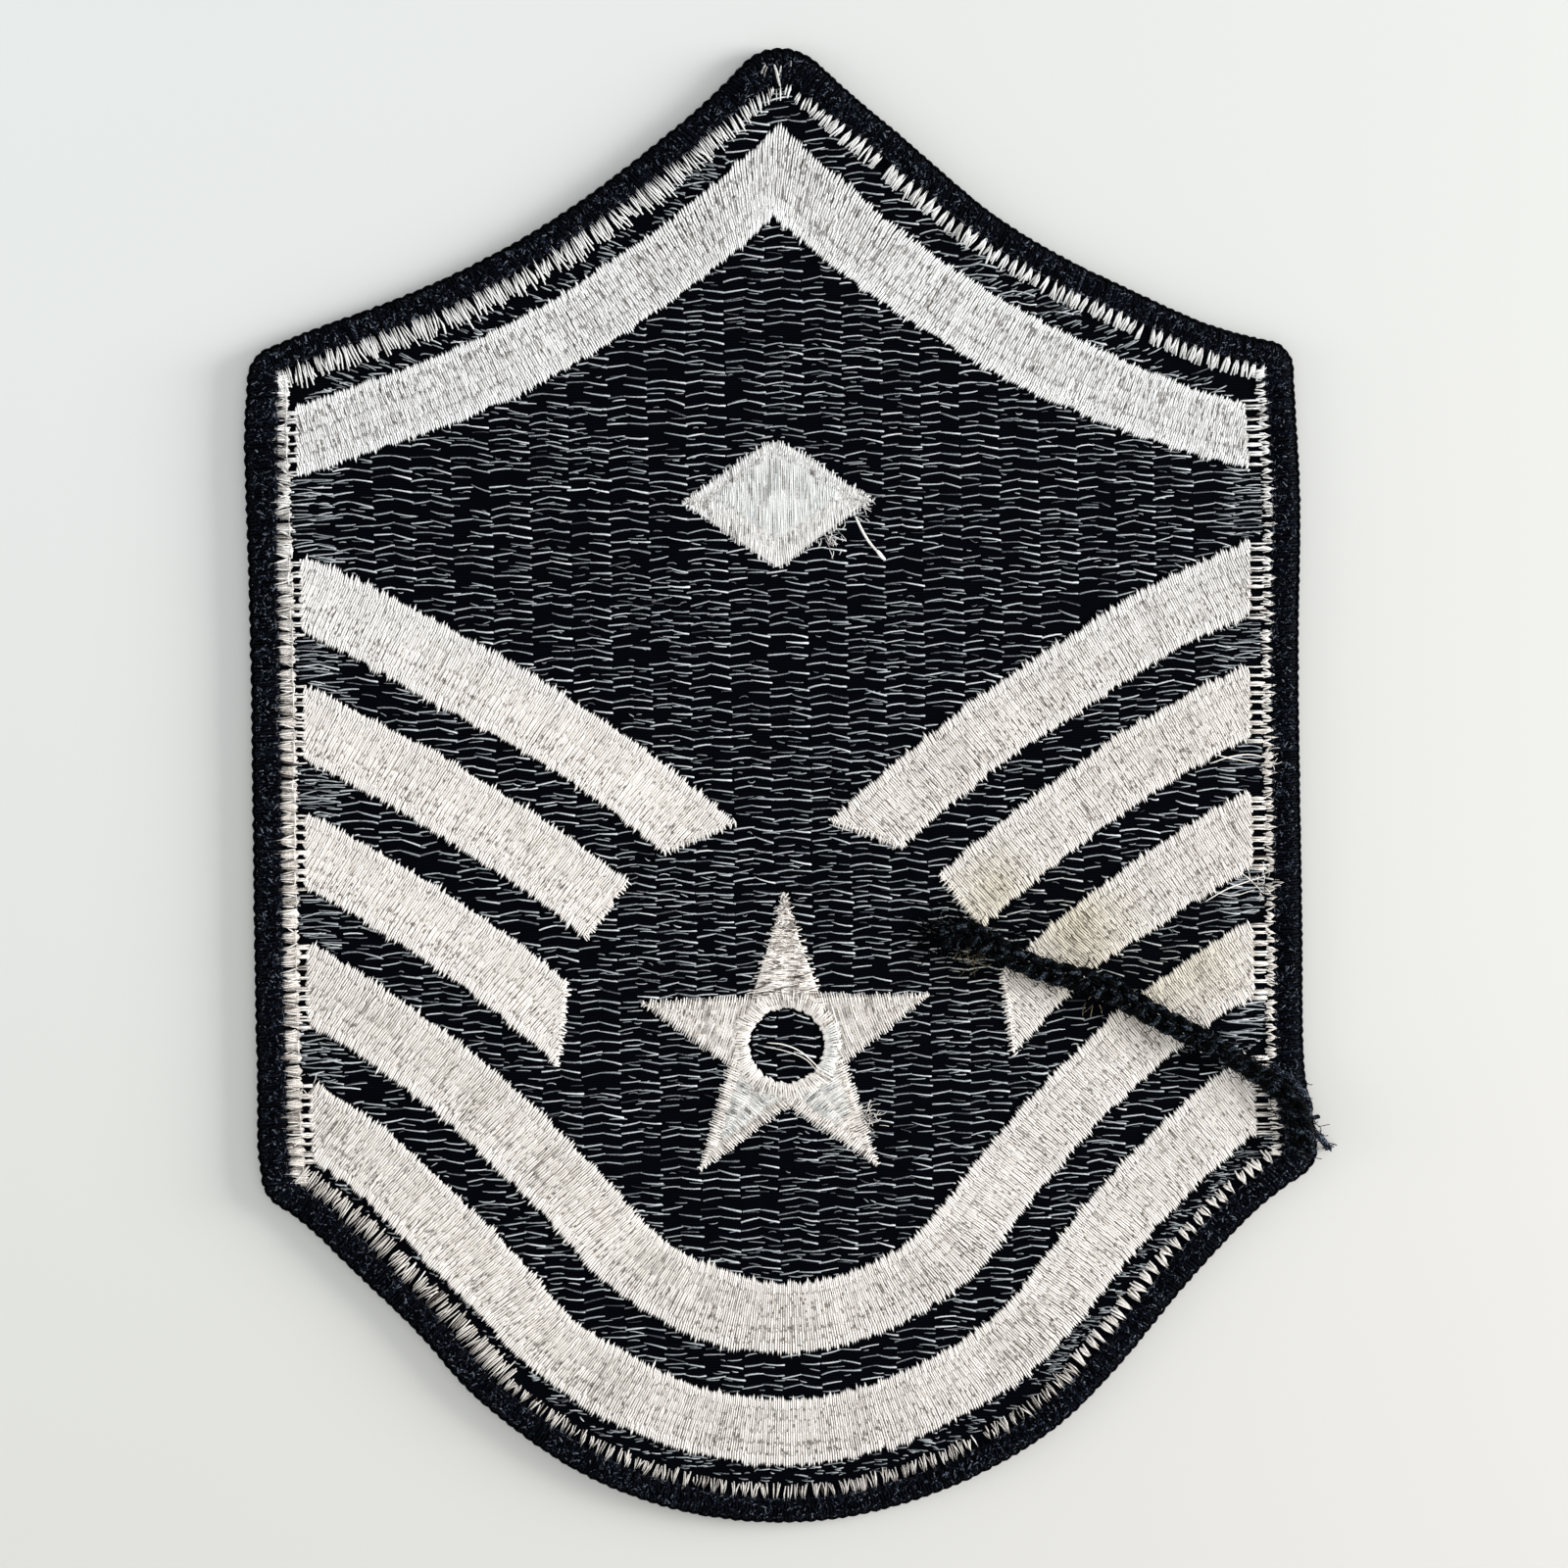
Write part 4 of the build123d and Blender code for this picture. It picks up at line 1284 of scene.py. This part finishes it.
def lay_bundles(threads, stations, kind, draw):
    """Lays bundles of white strokes: pointed between the border's teeth, and spread towards the ground."""
    count = len(stations)
    tooth = edge.place(stations)
    outer_half, middle_half, inner_half, kept, half, depth, start, ragged, tone = (
        np.array([BUNDLES[name] for name in kind]).T
    )

    def jitter(size):
        return draw.normal(0, size, count)

    start = reach_of_border(tooth) + start
    swing = jitter(0.14)
    start = start + jitter(0.16)
    for stroke in range(5):
        share = (stroke - 2) / 2
        outer_at = stations + outer_half * share + jitter(0.05)
        middle_at = stations + middle_half * share + swing * 0.5 + jitter(0.05)
        inner_at = stations + inner_half * share + swing + jitter(0.07)
        outer = start + 0.30 * abs(share) + jitter(1) * ragged
        inner = depth + jitter(1) * ragged
        places = ((outer_at, outer), (middle_at, (outer + inner) / 2), (inner_at, inner))
        plan = np.stack([edge.inside(station, depth_in) for station, depth_in in places], 1)
        # at the point of the patch the strokes turn upright
        inner_x = plan[:, 2:, 0]
        upright = np.clip(1 - np.abs(inner_x) / 4.5, 0, 1) * (tooth[:, 1:] > 0)
        plan[:, :2, 0] = plan[:, :2, 0] * (1 - upright) + inner_x * upright
        heights = row_level + 0.12 + np.array((0.0, 0.10, -0.04)) + jitter(0.03)[:, None]
        keep = (draw.random(count) < kept) & ((np.abs(tooth[:, 0]) > POINT_GAP) | (tooth[:, 1] < 0))
        widths = half[:, None] * np.array((0.28, 1.0, 0.80)) * draw.uniform(0.8, 1.15, (count, 1))
        threads.add(raised(plan, heights)[keep], widths[keep], 0.12, (tone + jitter(0.16))[keep])


def make_edge_row():
    """The row of white stitches round the edge, and on the left the band that they lie on."""
    draw = np.random.default_rng(400)
    threads = Threads()
    stations = edge_stations()
    stations = stations + draw.normal(0, 0.08, len(stations))
    kind = row_kind(edge.place(stations))
    lay_bundles(threads, stations, kind, draw)
    # the left side's bundles lie on a flat band and are crossed by a thread
    at = stations[kind == "left"]
    count = len(at)
    band = np.stack([edge.inside(at, depth) for depth in (2.80, LEFT_DEPTH)], 1)
    threads.add(raised(band, row_level + 0.08), 0.60, 0.06, 0.27 + draw.normal(0, 0.04, count))
    at = at + draw.normal(0, 0.1, count)
    depth = LEFT_DEPTH + draw.normal(0, 0.07, count)
    middle = edge.inside(at, depth + draw.normal(0, 0.05, count))
    plan = np.stack((edge.inside(at - 0.6, depth), middle, edge.inside(at + 0.6, depth)), 1)
    heights = row_level + 0.24 + np.array((-0.06, 0.02, -0.06)) + draw.normal(0, 0.02, (count, 1))
    keep = draw.random(count) < 0.7
    threads.add(raised(plan, heights)[keep], 0.07, 0.06, 0.36 + draw.normal(0, 0.12, keep.sum()))
    threads.piece("edge_row_stitches", back_white, "back_thread", "edge_row")
    make_rungs(draw)


def make_rungs(draw):
    """The rungs between the row and the ends of the stripes."""
    threads = Threads()
    y = np.arange(-60, 60, RUNG_PITCH)
    count = len(y)
    for side, word in ((-1, "left"), (1, "right")):
        rung = y + draw.normal(0, 0.07, count)
        for strand in (-0.10, 0.0, 0.10):
            height = rung + strand + draw.normal(0, 0.04, count) + strand * 0.4
            end = half_width - BUNDLES[word][5] + 0.1 + draw.normal(0, 0.1, count)
            p = np.stack((np.full(count, side * (band_end_x - 0.3)), height), 1)
            q = np.stack((side * end, height), 1)
            keep = in_marks(p - (side * 0.4, 0), 0.0) & (draw.random(count) > 0.06) & (rung > LADDER_END)
            segments(threads, p[keep], q[keep], "rung", draw, base=cloth_top)
    threads.piece("band_end_rungs", back_white, "back_thread")


# The border: a dark core, wrapped by thick stitches, with wool on them and a row of purls round the outside.
# The way of a wrap from the top inside round to the underside, and how far its threads stand apart on it.
WRAP = {
    "columns": ("depth as a share of the reach", "height as a share of the border's top", "spread"),
    "path": [
        (1.06, 0.80, 0.25), (0.90, 0.90, 0.6), (0.62, 0.965, 0.95), (0.34, 0.955, 1.0), (0.12, 0.80, 1.0),
        (0.035, 0.50, 1.0), (0.12, 0.20, 1.0), (0.34, 0.055, 1.0), (0.66, 0.055, 0.9), (0.98, 0.24, 0.7),
    ],
}
WRAP_THREADS = 3
WRAP_OUTER_ROWS = (4, 5, 6)
WRAP_SHARE = 0.98
CORE_SHRINK = 0.16
WOOL_FIBRES = 7400
PURLS = {
    "columns": ("depth", "height as a share of the border's top", "half_width", "slope"),
    "rows": [(0.10, 0.60, 0.20, 1), (0.14, 0.36, 0.17, -1)],
}


def make_core(section):
    """A dark roll just inside the wraps."""
    steps = np.linspace(0, edge.length, 700, endpoint=False)
    reach = reach_of_border(edge.place(steps))
    tall = border_top - 2 * CORE_SHRINK
    vertices = np.stack([
        raised(edge.inside(steps, 0.15 + depth * (reach - 0.20)), border_top / 2 + (height - 0.5) * tall)
        for depth, height, _ in section
    ], 1)
    vertices[..., :2] += shift_of(vertices[..., :2])
    count, around = vertices.shape[:2]
    index = np.arange(count * around).reshape(count, around)
    ahead = np.roll(index, -1, axis=0)
    quads = np.stack((index, ahead, np.roll(ahead, -1, axis=1), np.roll(index, -1, axis=1)), -1)
    quads = quads.reshape(-1, 4)
    core = write_mesh("border_core", vertices.reshape(-1, 3), quads.ravel(), np.full(len(quads), 4))
    settle(core, navy_core, "border_thread", "merrow_border")


def make_wraps(section, stations, pitch, draw):
    """The border's stitches, each of a few threads that lie apart over its top and together further in."""
    threads = Threads()
    count = len(stations)
    slants = 0.45 * pitch * np.linspace(-0.5, 0.5, len(section))
    for number in range(WRAP_THREADS):
        share = (number - (WRAP_THREADS - 1) / 2) / WRAP_THREADS
        crown = 0.10 * (1 - (2 * share) ** 2) - 0.07
        at = stations + pitch * (0.5 + share * WRAP_SHARE) + draw.normal(0, 0.03, count)
        reach = reach_of_border(edge.place(at)) + draw.normal(0, 0.12, count) * (1 - abs(share))
        rows = []
        for row, ((depth, height, spread), slant) in enumerate(zip(section, slants)):
            lift = crown + draw.normal(0, 0.02, count)
            depth_mm = 0.12 + depth * (reach + (0.18 - abs(share)) * (row == 0))
            if row in WRAP_OUTER_ROWS:
                depth_mm = depth_mm - (lift + 0.04) * 2
            height_mm = np.clip(border_top * height + lift * np.sign(height - 0.5), 0.10, border_top + 0.05)
            along = at - pitch * share * WRAP_SHARE * (1 - spread) + slant
            rows.append(raised(edge.inside(along, depth_mm), height_mm))
        centres = np.stack(rows, 1)
        middle = raised(centres[:, :, :2].mean(1, keepdims=True), border_top / 2)
        widths = 0.19 * draw.uniform(0.85, 1.15, (count, 1))
        tones = 0.24 + draw.normal(0, 0.14, count)
        threads.add(centres, widths, 0.10, tones, up=unit(centres - middle))
    threads.piece("border_wraps", navy_thread, "border_thread")


def make_wool(section, pitch, draw):
    """Short fibres on the upper part of the wraps, with lumps where the wraps are. The lumps' crests are
    painted lighter and the brightest fibres are painted highlights.
    """
    threads = Threads()
    at = draw.uniform(0, edge.length, WOOL_FIBRES)
    reach = reach_of_border(edge.place(at))
    across = draw.uniform(0.04, 0.98, WOOL_FIBRES)
    spots = section[:5, :2][::-1]
    low = np.clip((across * 4).astype(int), 0, 3)
    share = across * 4 - low
    spot_depth = spots[low, 0] * (1 - share) + spots[low + 1, 0] * share
    lean = np.where(across > 0.72, draw.normal(1.45, 0.35, WOOL_FIBRES), draw.uniform(-1.4, 1.5, WOOL_FIBRES))
    length = draw.uniform(0.22, 0.60, WOOL_FIBRES)
    # the lumps raise the fibres and paint their crests lighter, a painted highlight
    lump_and_highlight = 0.10 * np.cos(2 * pi * at / pitch) * np.cos(2 * pi * across)
    ends = []
    for step in (-0.5, 0.5):
        depth_mm = np.clip(0.12 + spot_depth * reach + np.cos(lean) * length * step, 0.02, reach * 1.04)
        height_mm = np.interp(depth_mm / reach, *spots.T) * border_top
        height_mm = height_mm + 0.12 + lump_and_highlight * 0.6 + draw.normal(0, 0.03, WOOL_FIBRES)
        ends.append(raised(edge.inside(at + np.sin(lean) * length * step, depth_mm), height_mm))
    widths = 0.07 * draw.uniform(0.7, 1.4, (WOOL_FIBRES, 1))
    threads.add(np.stack(ends, 1), widths, 0.06, 0.42 + lump_and_highlight + draw.gamma(1.4, 0.13, WOOL_FIBRES))
    threads.piece("border_wool", navy_thread, "border_thread")


def make_purls(stations, pitch, draw):
    """Two rows of slanting loops round the outside of the border."""
    threads = Threads()
    count = len(stations)
    sweep = np.linspace(-0.62, 0.62, 5)
    for depth, height, half, slope in PURLS["rows"]:
        at = stations + pitch * 0.5 + draw.normal(0, 0.05, count)
        rows = []
        for share in sweep:
            inset = depth - 0.144 * cos(share * pi) + draw.normal(0, 0.02, count)
            lifted = border_top * height + 0.22 * share * slope
            rows.append(raised(edge.inside(at + share * pitch, inset), lifted))
        outward = raised(-edge.inward(at), 0.0)[:, None].repeat(len(sweep), 1)
        widths = half * np.array((0.45, 0.95, 1.05, 0.95, 0.45))
        threads.add(np.stack(rows, 1), widths, 0.14, 0.22 + draw.normal(0, 0.10, count), up=outward, sides=4)
    threads.piece("border_purls", navy_thread, "border_thread")


def make_border():
    draw = np.random.default_rng(500)
    stations = edge_stations()
    pitch = edge.length / len(stations)
    section = np.array(WRAP["path"])
    make_core(section)
    make_wraps(section, stations, pitch, draw)
    make_wool(section, pitch, draw)
    make_purls(stations, pitch, draw)


# The border thread's tail, a braid glued down from the lower right corner
TAIL_ROUTE = {
    "columns": ("x", "y"),
    "points": [(49.4, -36.4), (48.9, -31.4), (44.7, -27.7), (37.6, -23.6), (30.2, -20.0), (23.5, -17.1),
               (18.3, -14.1), (14.9, -14.2)],
}
BRAID_PERIOD = 6.0
BRAID_REACH = 0.78
BRAID_RISE = 0.34
STRAND_RADIUS = 0.44
FRAYED_FIBRES = 110
FUZZ_FIBRES = 780
FUZZ_REACH = 1.3
# The lumps of cord where the tail leaves the border: a run of pixels of the photo, with a height and a radius
KNOT = {
    "columns": ("pixels", "height", "radius"),
    "rows": [
        (((1302, 1094), (1318, 1102), (1327, 1118), (1320, 1132), (1308, 1124)), 2.5, 0.42),
        (((1312, 1108), (1328, 1114), (1335, 1130), (1330, 1146)), 2.4, 0.40),
        (((1326, 1136), (1316, 1148), (1316, 1166), (1327, 1176), (1336, 1164), (1334, 1148)), 2.2, 0.38),
        (((1298, 1086), (1310, 1100), (1318, 1120), (1322, 1145), (1318, 1170)), 1.9, 0.50),
        (((1330, 1144), (1338, 1141), (1346, 1139)), 1.6, 0.20),
        (((1330, 1152), (1342, 1156), (1350, 1164), (1356, 1172)), 1.0, 0.30),
    ],
}
KNOT_ENDS = ((1312, 1096), (1326, 1176))
KNOT_STRAYS = 220
TUFT = (1352, 1168)
TUFT_FIBRES = 26


def make_tail():
    """The braid of three strands, its frayed end and the wool along it."""
    draw = np.random.default_rng(600)
    route = Guide(smooth_route(TAIL_ROUTE["points"], 60))
    middle = (tail_low[2] + tail_high[2]) / 2
    stations = np.arange(0, route.length, 0.26)
    threads = Threads()
    crisp = np.clip((stations - 13) / 5, 0.25, 1) * np.clip((route.length - stations) / 2.5, 0.3, 1)
    for strand in range(3):
        phase = 2 * pi * stations / BRAID_PERIOD + strand * 2 * pi / 3
        side = BRAID_REACH * np.sin(phase) * (0.7 + 0.3 * crisp)
        points = raised(route.inside(stations, side), middle + BRAID_RISE * np.sin(2 * phase) * crisp)
        lay_rope(threads, points, STRAND_RADIUS, 0.32, draw, 2.8)
        # a paler fibre laid over each strand's crest is a painted highlight
        lay_rope(threads, points + (0, 0, 0.06), STRAND_RADIUS * 1.12, 0.80, draw, 1.9, fibres=1)
    # the frayed end, flattened in glue
    count = FRAYED_FIBRES
    start = route.place(route.length - draw.uniform(0.2, 4.5, count)) + draw.normal(0, 0.7, (count, 2))
    lay_fibres(
        threads, start, pi + draw.normal(0.0, 0.55, count), draw.uniform(0.8, 3.4, count),
        draw.normal(0, 0.9, count), 2.55 - 0.5 * WAY + draw.uniform(0, 0.45, (count, 1)) * (1 - WAY),
        0.07, 0.06, 0.35 + draw.normal(0, 0.28, count),
    )
    # wool along its whole length, whose brightest fibres are painted glints
    count = FUZZ_FIBRES
    begin = draw.uniform(0, route.length, count)
    off = draw.uniform(-1, 1, (count, 1))
    length = draw.uniform(0.4, 1.3, count)
    lay_fibres(
        threads, route.inside(begin, off * FUZZ_REACH), draw.uniform(0, 2 * pi, count), length,
        draw.normal(0, 1.4, count), middle + 0.72 * np.sqrt(1 - off**2) - 0.12 + 0.12 * BOW, 0.04, 0.04,
        0.30 + draw.gamma(1.2, 0.17, count),
    )
    threads.piece("tail_braid", tail_thread, "border_thread", "border_tail")
    make_knot(draw)


def make_knot(draw):
    """The loops and the cut end beside the corner, in the border's own thread."""
    threads = Threads()
    for pixels, height, radius in KNOT["rows"]:
        plan = smooth_route(in_photo(pixels, height), 8)
        rise = height + 0.12 * np.sin(np.linspace(0, pi, len(plan)))
        lay_rope(threads, raised(plan, rise), radius, 0.64, draw, 2.2)
    count = TUFT_FIBRES
    start = in_photo([TUFT], 1.0) + draw.normal(0, 0.16, (count, 2))
    lay_fibres(
        threads, start, radians(-48) + draw.normal(0, 0.32, count), draw.uniform(0.3, 1.0, count),
        draw.normal(0, 0.4, count), 0.9 + draw.normal(0, 0.15, (count, 1)) - 0.4 * WAY, 0.06, 0.06,
        0.5 + draw.normal(0, 0.25, count),
    )
    # stray fibres round the knot, the brightest of them painted highlights
    count = KNOT_STRAYS
    begin = draw.uniform(0, 1, (count, 1))
    top, foot = in_photo(KNOT_ENDS, 2.4)
    lay_fibres(
        threads, top * (1 - begin) + foot * begin + draw.normal(0, 0.6, (count, 2)),
        draw.uniform(0, 2 * pi, count), draw.uniform(0.4, 1.5, count), draw.normal(0, 1.5, count),
        2.75 + draw.normal(0, 0.2, (count, 1)) + 0.2 * BOW, 0.05, 0.05, 0.48 + draw.gamma(1.2, 0.16, count),
    )
    threads.piece("tail_knot", navy_thread, "border_thread")


# Brown fibres stuck down round the tail: a pixel of the photo, how far they spread, and how many
BROWN_FIBRES = {
    "columns": ("u", "v", "spread", "count"),
    "rows": [(998, 976, 0.9, 34), (985, 968, 0.6, 12), (1086, 1004, 0.7, 12), (1036, 985, 0.8, 10),
             (1120, 1022, 0.6, 8)],
}
# Loose threads on the back: pixels of the photo along each, its height, half width and tone
LOOSE_THREADS = {
    "columns": ("pixels", "height", "half_width", "tone"),
    "rows": [
        (((873, 527), (879, 540), (887, 553), (898, 566)), 2.5, 0.13, 0.34),
        (((895, 562), (899, 567), (903, 571)), 2.5, 0.19, 0.48),
        (((783, 1064), (800, 1066), (818, 1074), (838, 1092)), 2.3, 0.07, 0.42),
        (((779, 1068), (800, 1072), (822, 1081), (836, 1096)), 2.3, 0.05, 0.34),
        (((1235, 779), (1256, 772), (1276, 770), (1296, 774)), 2.3, 0.055, 0.62),
        (((1240, 770), (1262, 775), (1284, 779)), 2.3, 0.045, 0.5),
        (((1230, 920), (1250, 908), (1272, 900), (1291, 894)), 2.3, 0.055, 0.62),
        (((1236, 909), (1258, 914), (1280, 908)), 2.3, 0.040, 0.5),
        (((1262, 888), (1275, 897), (1290, 912)), 2.3, 0.040, 0.5),
        (((790, 66), (793, 76), (796, 88)), 2.85, 0.13, 0.22),
        (((797, 67), (796, 72), (794, 79)), 2.85, 0.08, 0.19),
        (((781, 66), (779, 70), (777, 75)), 2.85, 0.09, 0.14),
        (((783, 68), (781, 73), (780, 78)), 2.85, 0.06, 0.10),
        (((807, 62), (807, 68)), 2.85, 0.05, 0.16),
    ],
}
# Soft tufts of broken fibre, each round a pixel of the photo
TUFTS = {
    "columns": ("u", "v", "spread", "heading", "count", "length"),
    "rows": [
        (882, 1140, 0.55, 10, 34, 1.5), (846, 548, 0.6, -50, 26, 1.2), (878, 516, 0.6, -10, 22, 1.0),
        (1290, 775, 0.4, 0, 12, 1.5), (1284, 902, 0.6, 20, 18, 1.6), (1258, 1010, 0.8, 120, 16, 1.5),
        (318, 1110, 0.8, 150, 12, 1.2),
    ],
}
FIBRE_HEIGHT = 2.3


def make_brown_fibres():
    """Fibres that the glue has caught beside the tail."""
    draw = np.random.default_rng(650)
    threads = Threads()
    for u, v, spread, count in BROWN_FIBRES["rows"]:
        start = in_photo([(u, v)], FIBRE_HEIGHT) + draw.normal(0, spread, (count, 2))
        lay_fibres(
            threads, start, draw.uniform(0, 2 * pi, count), draw.uniform(0.5, 1.6, count),
            draw.normal(0, 1.2, count), cloth_top + 0.28 + draw.normal(0, 0.05, (count, 1)), 0.045, 0.04,
            0.78 + draw.normal(0, 0.25, count),
        )
    threads.piece("brown_fibres", brown_fibre, "border_thread")


def make_loose_threads():
    """The loose threads and tufts that lie on the back."""
    draw = np.random.default_rng(700)
    threads = Threads()
    for pixels, height, half, tone in LOOSE_THREADS["rows"]:
        plan = smooth_route(in_photo(pixels, height), 8)
        rise = height + 0.12 * np.sin(np.linspace(0, 2 * pi, len(plan)))
        taper = 1 - 0.4 * np.abs(np.linspace(-1, 1, len(plan))) ** 3
        threads.add(raised(plan, rise)[None], half * taper, half * 0.6, tone, sides=5)
    for u, v, spread, turn, count, length in TUFTS["rows"]:
        start = in_photo([(u, v)], FIBRE_HEIGHT) + draw.normal(0, spread, (count, 2))
        lay_fibres(
            threads, start, radians(turn) + draw.normal(0, 0.7, count),
            length * draw.uniform(0.5, 1.1, count), draw.normal(0, 0.8, count),
            FIBRE_HEIGHT + draw.normal(0, 0.08, (count, 1)) + 0.15 * BOW, 0.032, 0.03,
            0.45 + draw.normal(0, 0.15, count),
        )
    threads.piece("loose_threads", back_white, "back_thread")


make_stripes()
make_star()
make_lozenge()
make_ground()
make_dashes()
make_edge_row()
make_border()
make_tail()
make_brown_fibres()
make_loose_threads()


def place_camera():
    camera = bpy.data.objects.new("photo_camera", bpy.data.cameras.new("photo_camera"))
    bpy.context.scene.collection.objects.link(camera)
    back = camera_turn().transposed()
    shift_x, shift_y = CAMERA_SHIFT
    camera.rotation_mode = "QUATERNION"
    camera.rotation_quaternion = back.to_quaternion()
    camera.location = np.array(back) @ np.array((-shift_x, -shift_y, CAMERA_DISTANCE)) * MM
    camera.data.sensor_width = SENSOR
    camera.data.lens = FOCAL_PIXELS / PHOTO_SIZE * SENSOR
    camera.data.clip_start = 0.01
    camera.data.clip_end = 10
    bpy.context.scene.camera = camera


# Soft square lamps that face the patch: where each is, its size in metres and its power
LAMPS = {
    "key": ((0.58, 0.06, 0.225), 0.28, 5.8),
    "fill": ((-0.58, 0.0, 0.225), 0.28, 1.2),
    "overhead": ((0.0, 0.0, 0.60), 0.40, 0.65),
}
SURROUND = 0.75
FLOOR_SIZE = 3


def place_light():
    """A large soft lamp on the right and two weak ones, in an even pale surround."""
    for name, (place, size, power) in LAMPS.items():
        lamp = bpy.data.lights.new(name, "AREA")
        lamp.size = size
        lamp.energy = power
        lamp.color = (1.0, 0.99, 0.97)
        holder = bpy.data.objects.new(name, lamp)
        holder.location = place
        holder.rotation_mode = "QUATERNION"
        holder.rotation_quaternion = holder.location.to_track_quat("Z", "Y")
        bpy.context.scene.collection.objects.link(holder)
    world = bpy.data.worlds.new("soft_surround")
    world.use_nodes = True
    background = world.node_tree.nodes["Background"]
    background.inputs["Color"].default_value = (0.96, 0.985, 1.0, 1)
    background.inputs["Strength"].default_value = SURROUND
    bpy.context.scene.world = world


def place_floor():
    bpy.ops.mesh.primitive_plane_add(size=FLOOR_SIZE, location=(0, 0, 0))
    floor = bpy.context.object
    floor.name = "floor"
    floor.data.materials.append(floor_material())


place_camera()
place_light()
place_floor()
bpy.context.scene.view_settings.view_transform = "Standard"
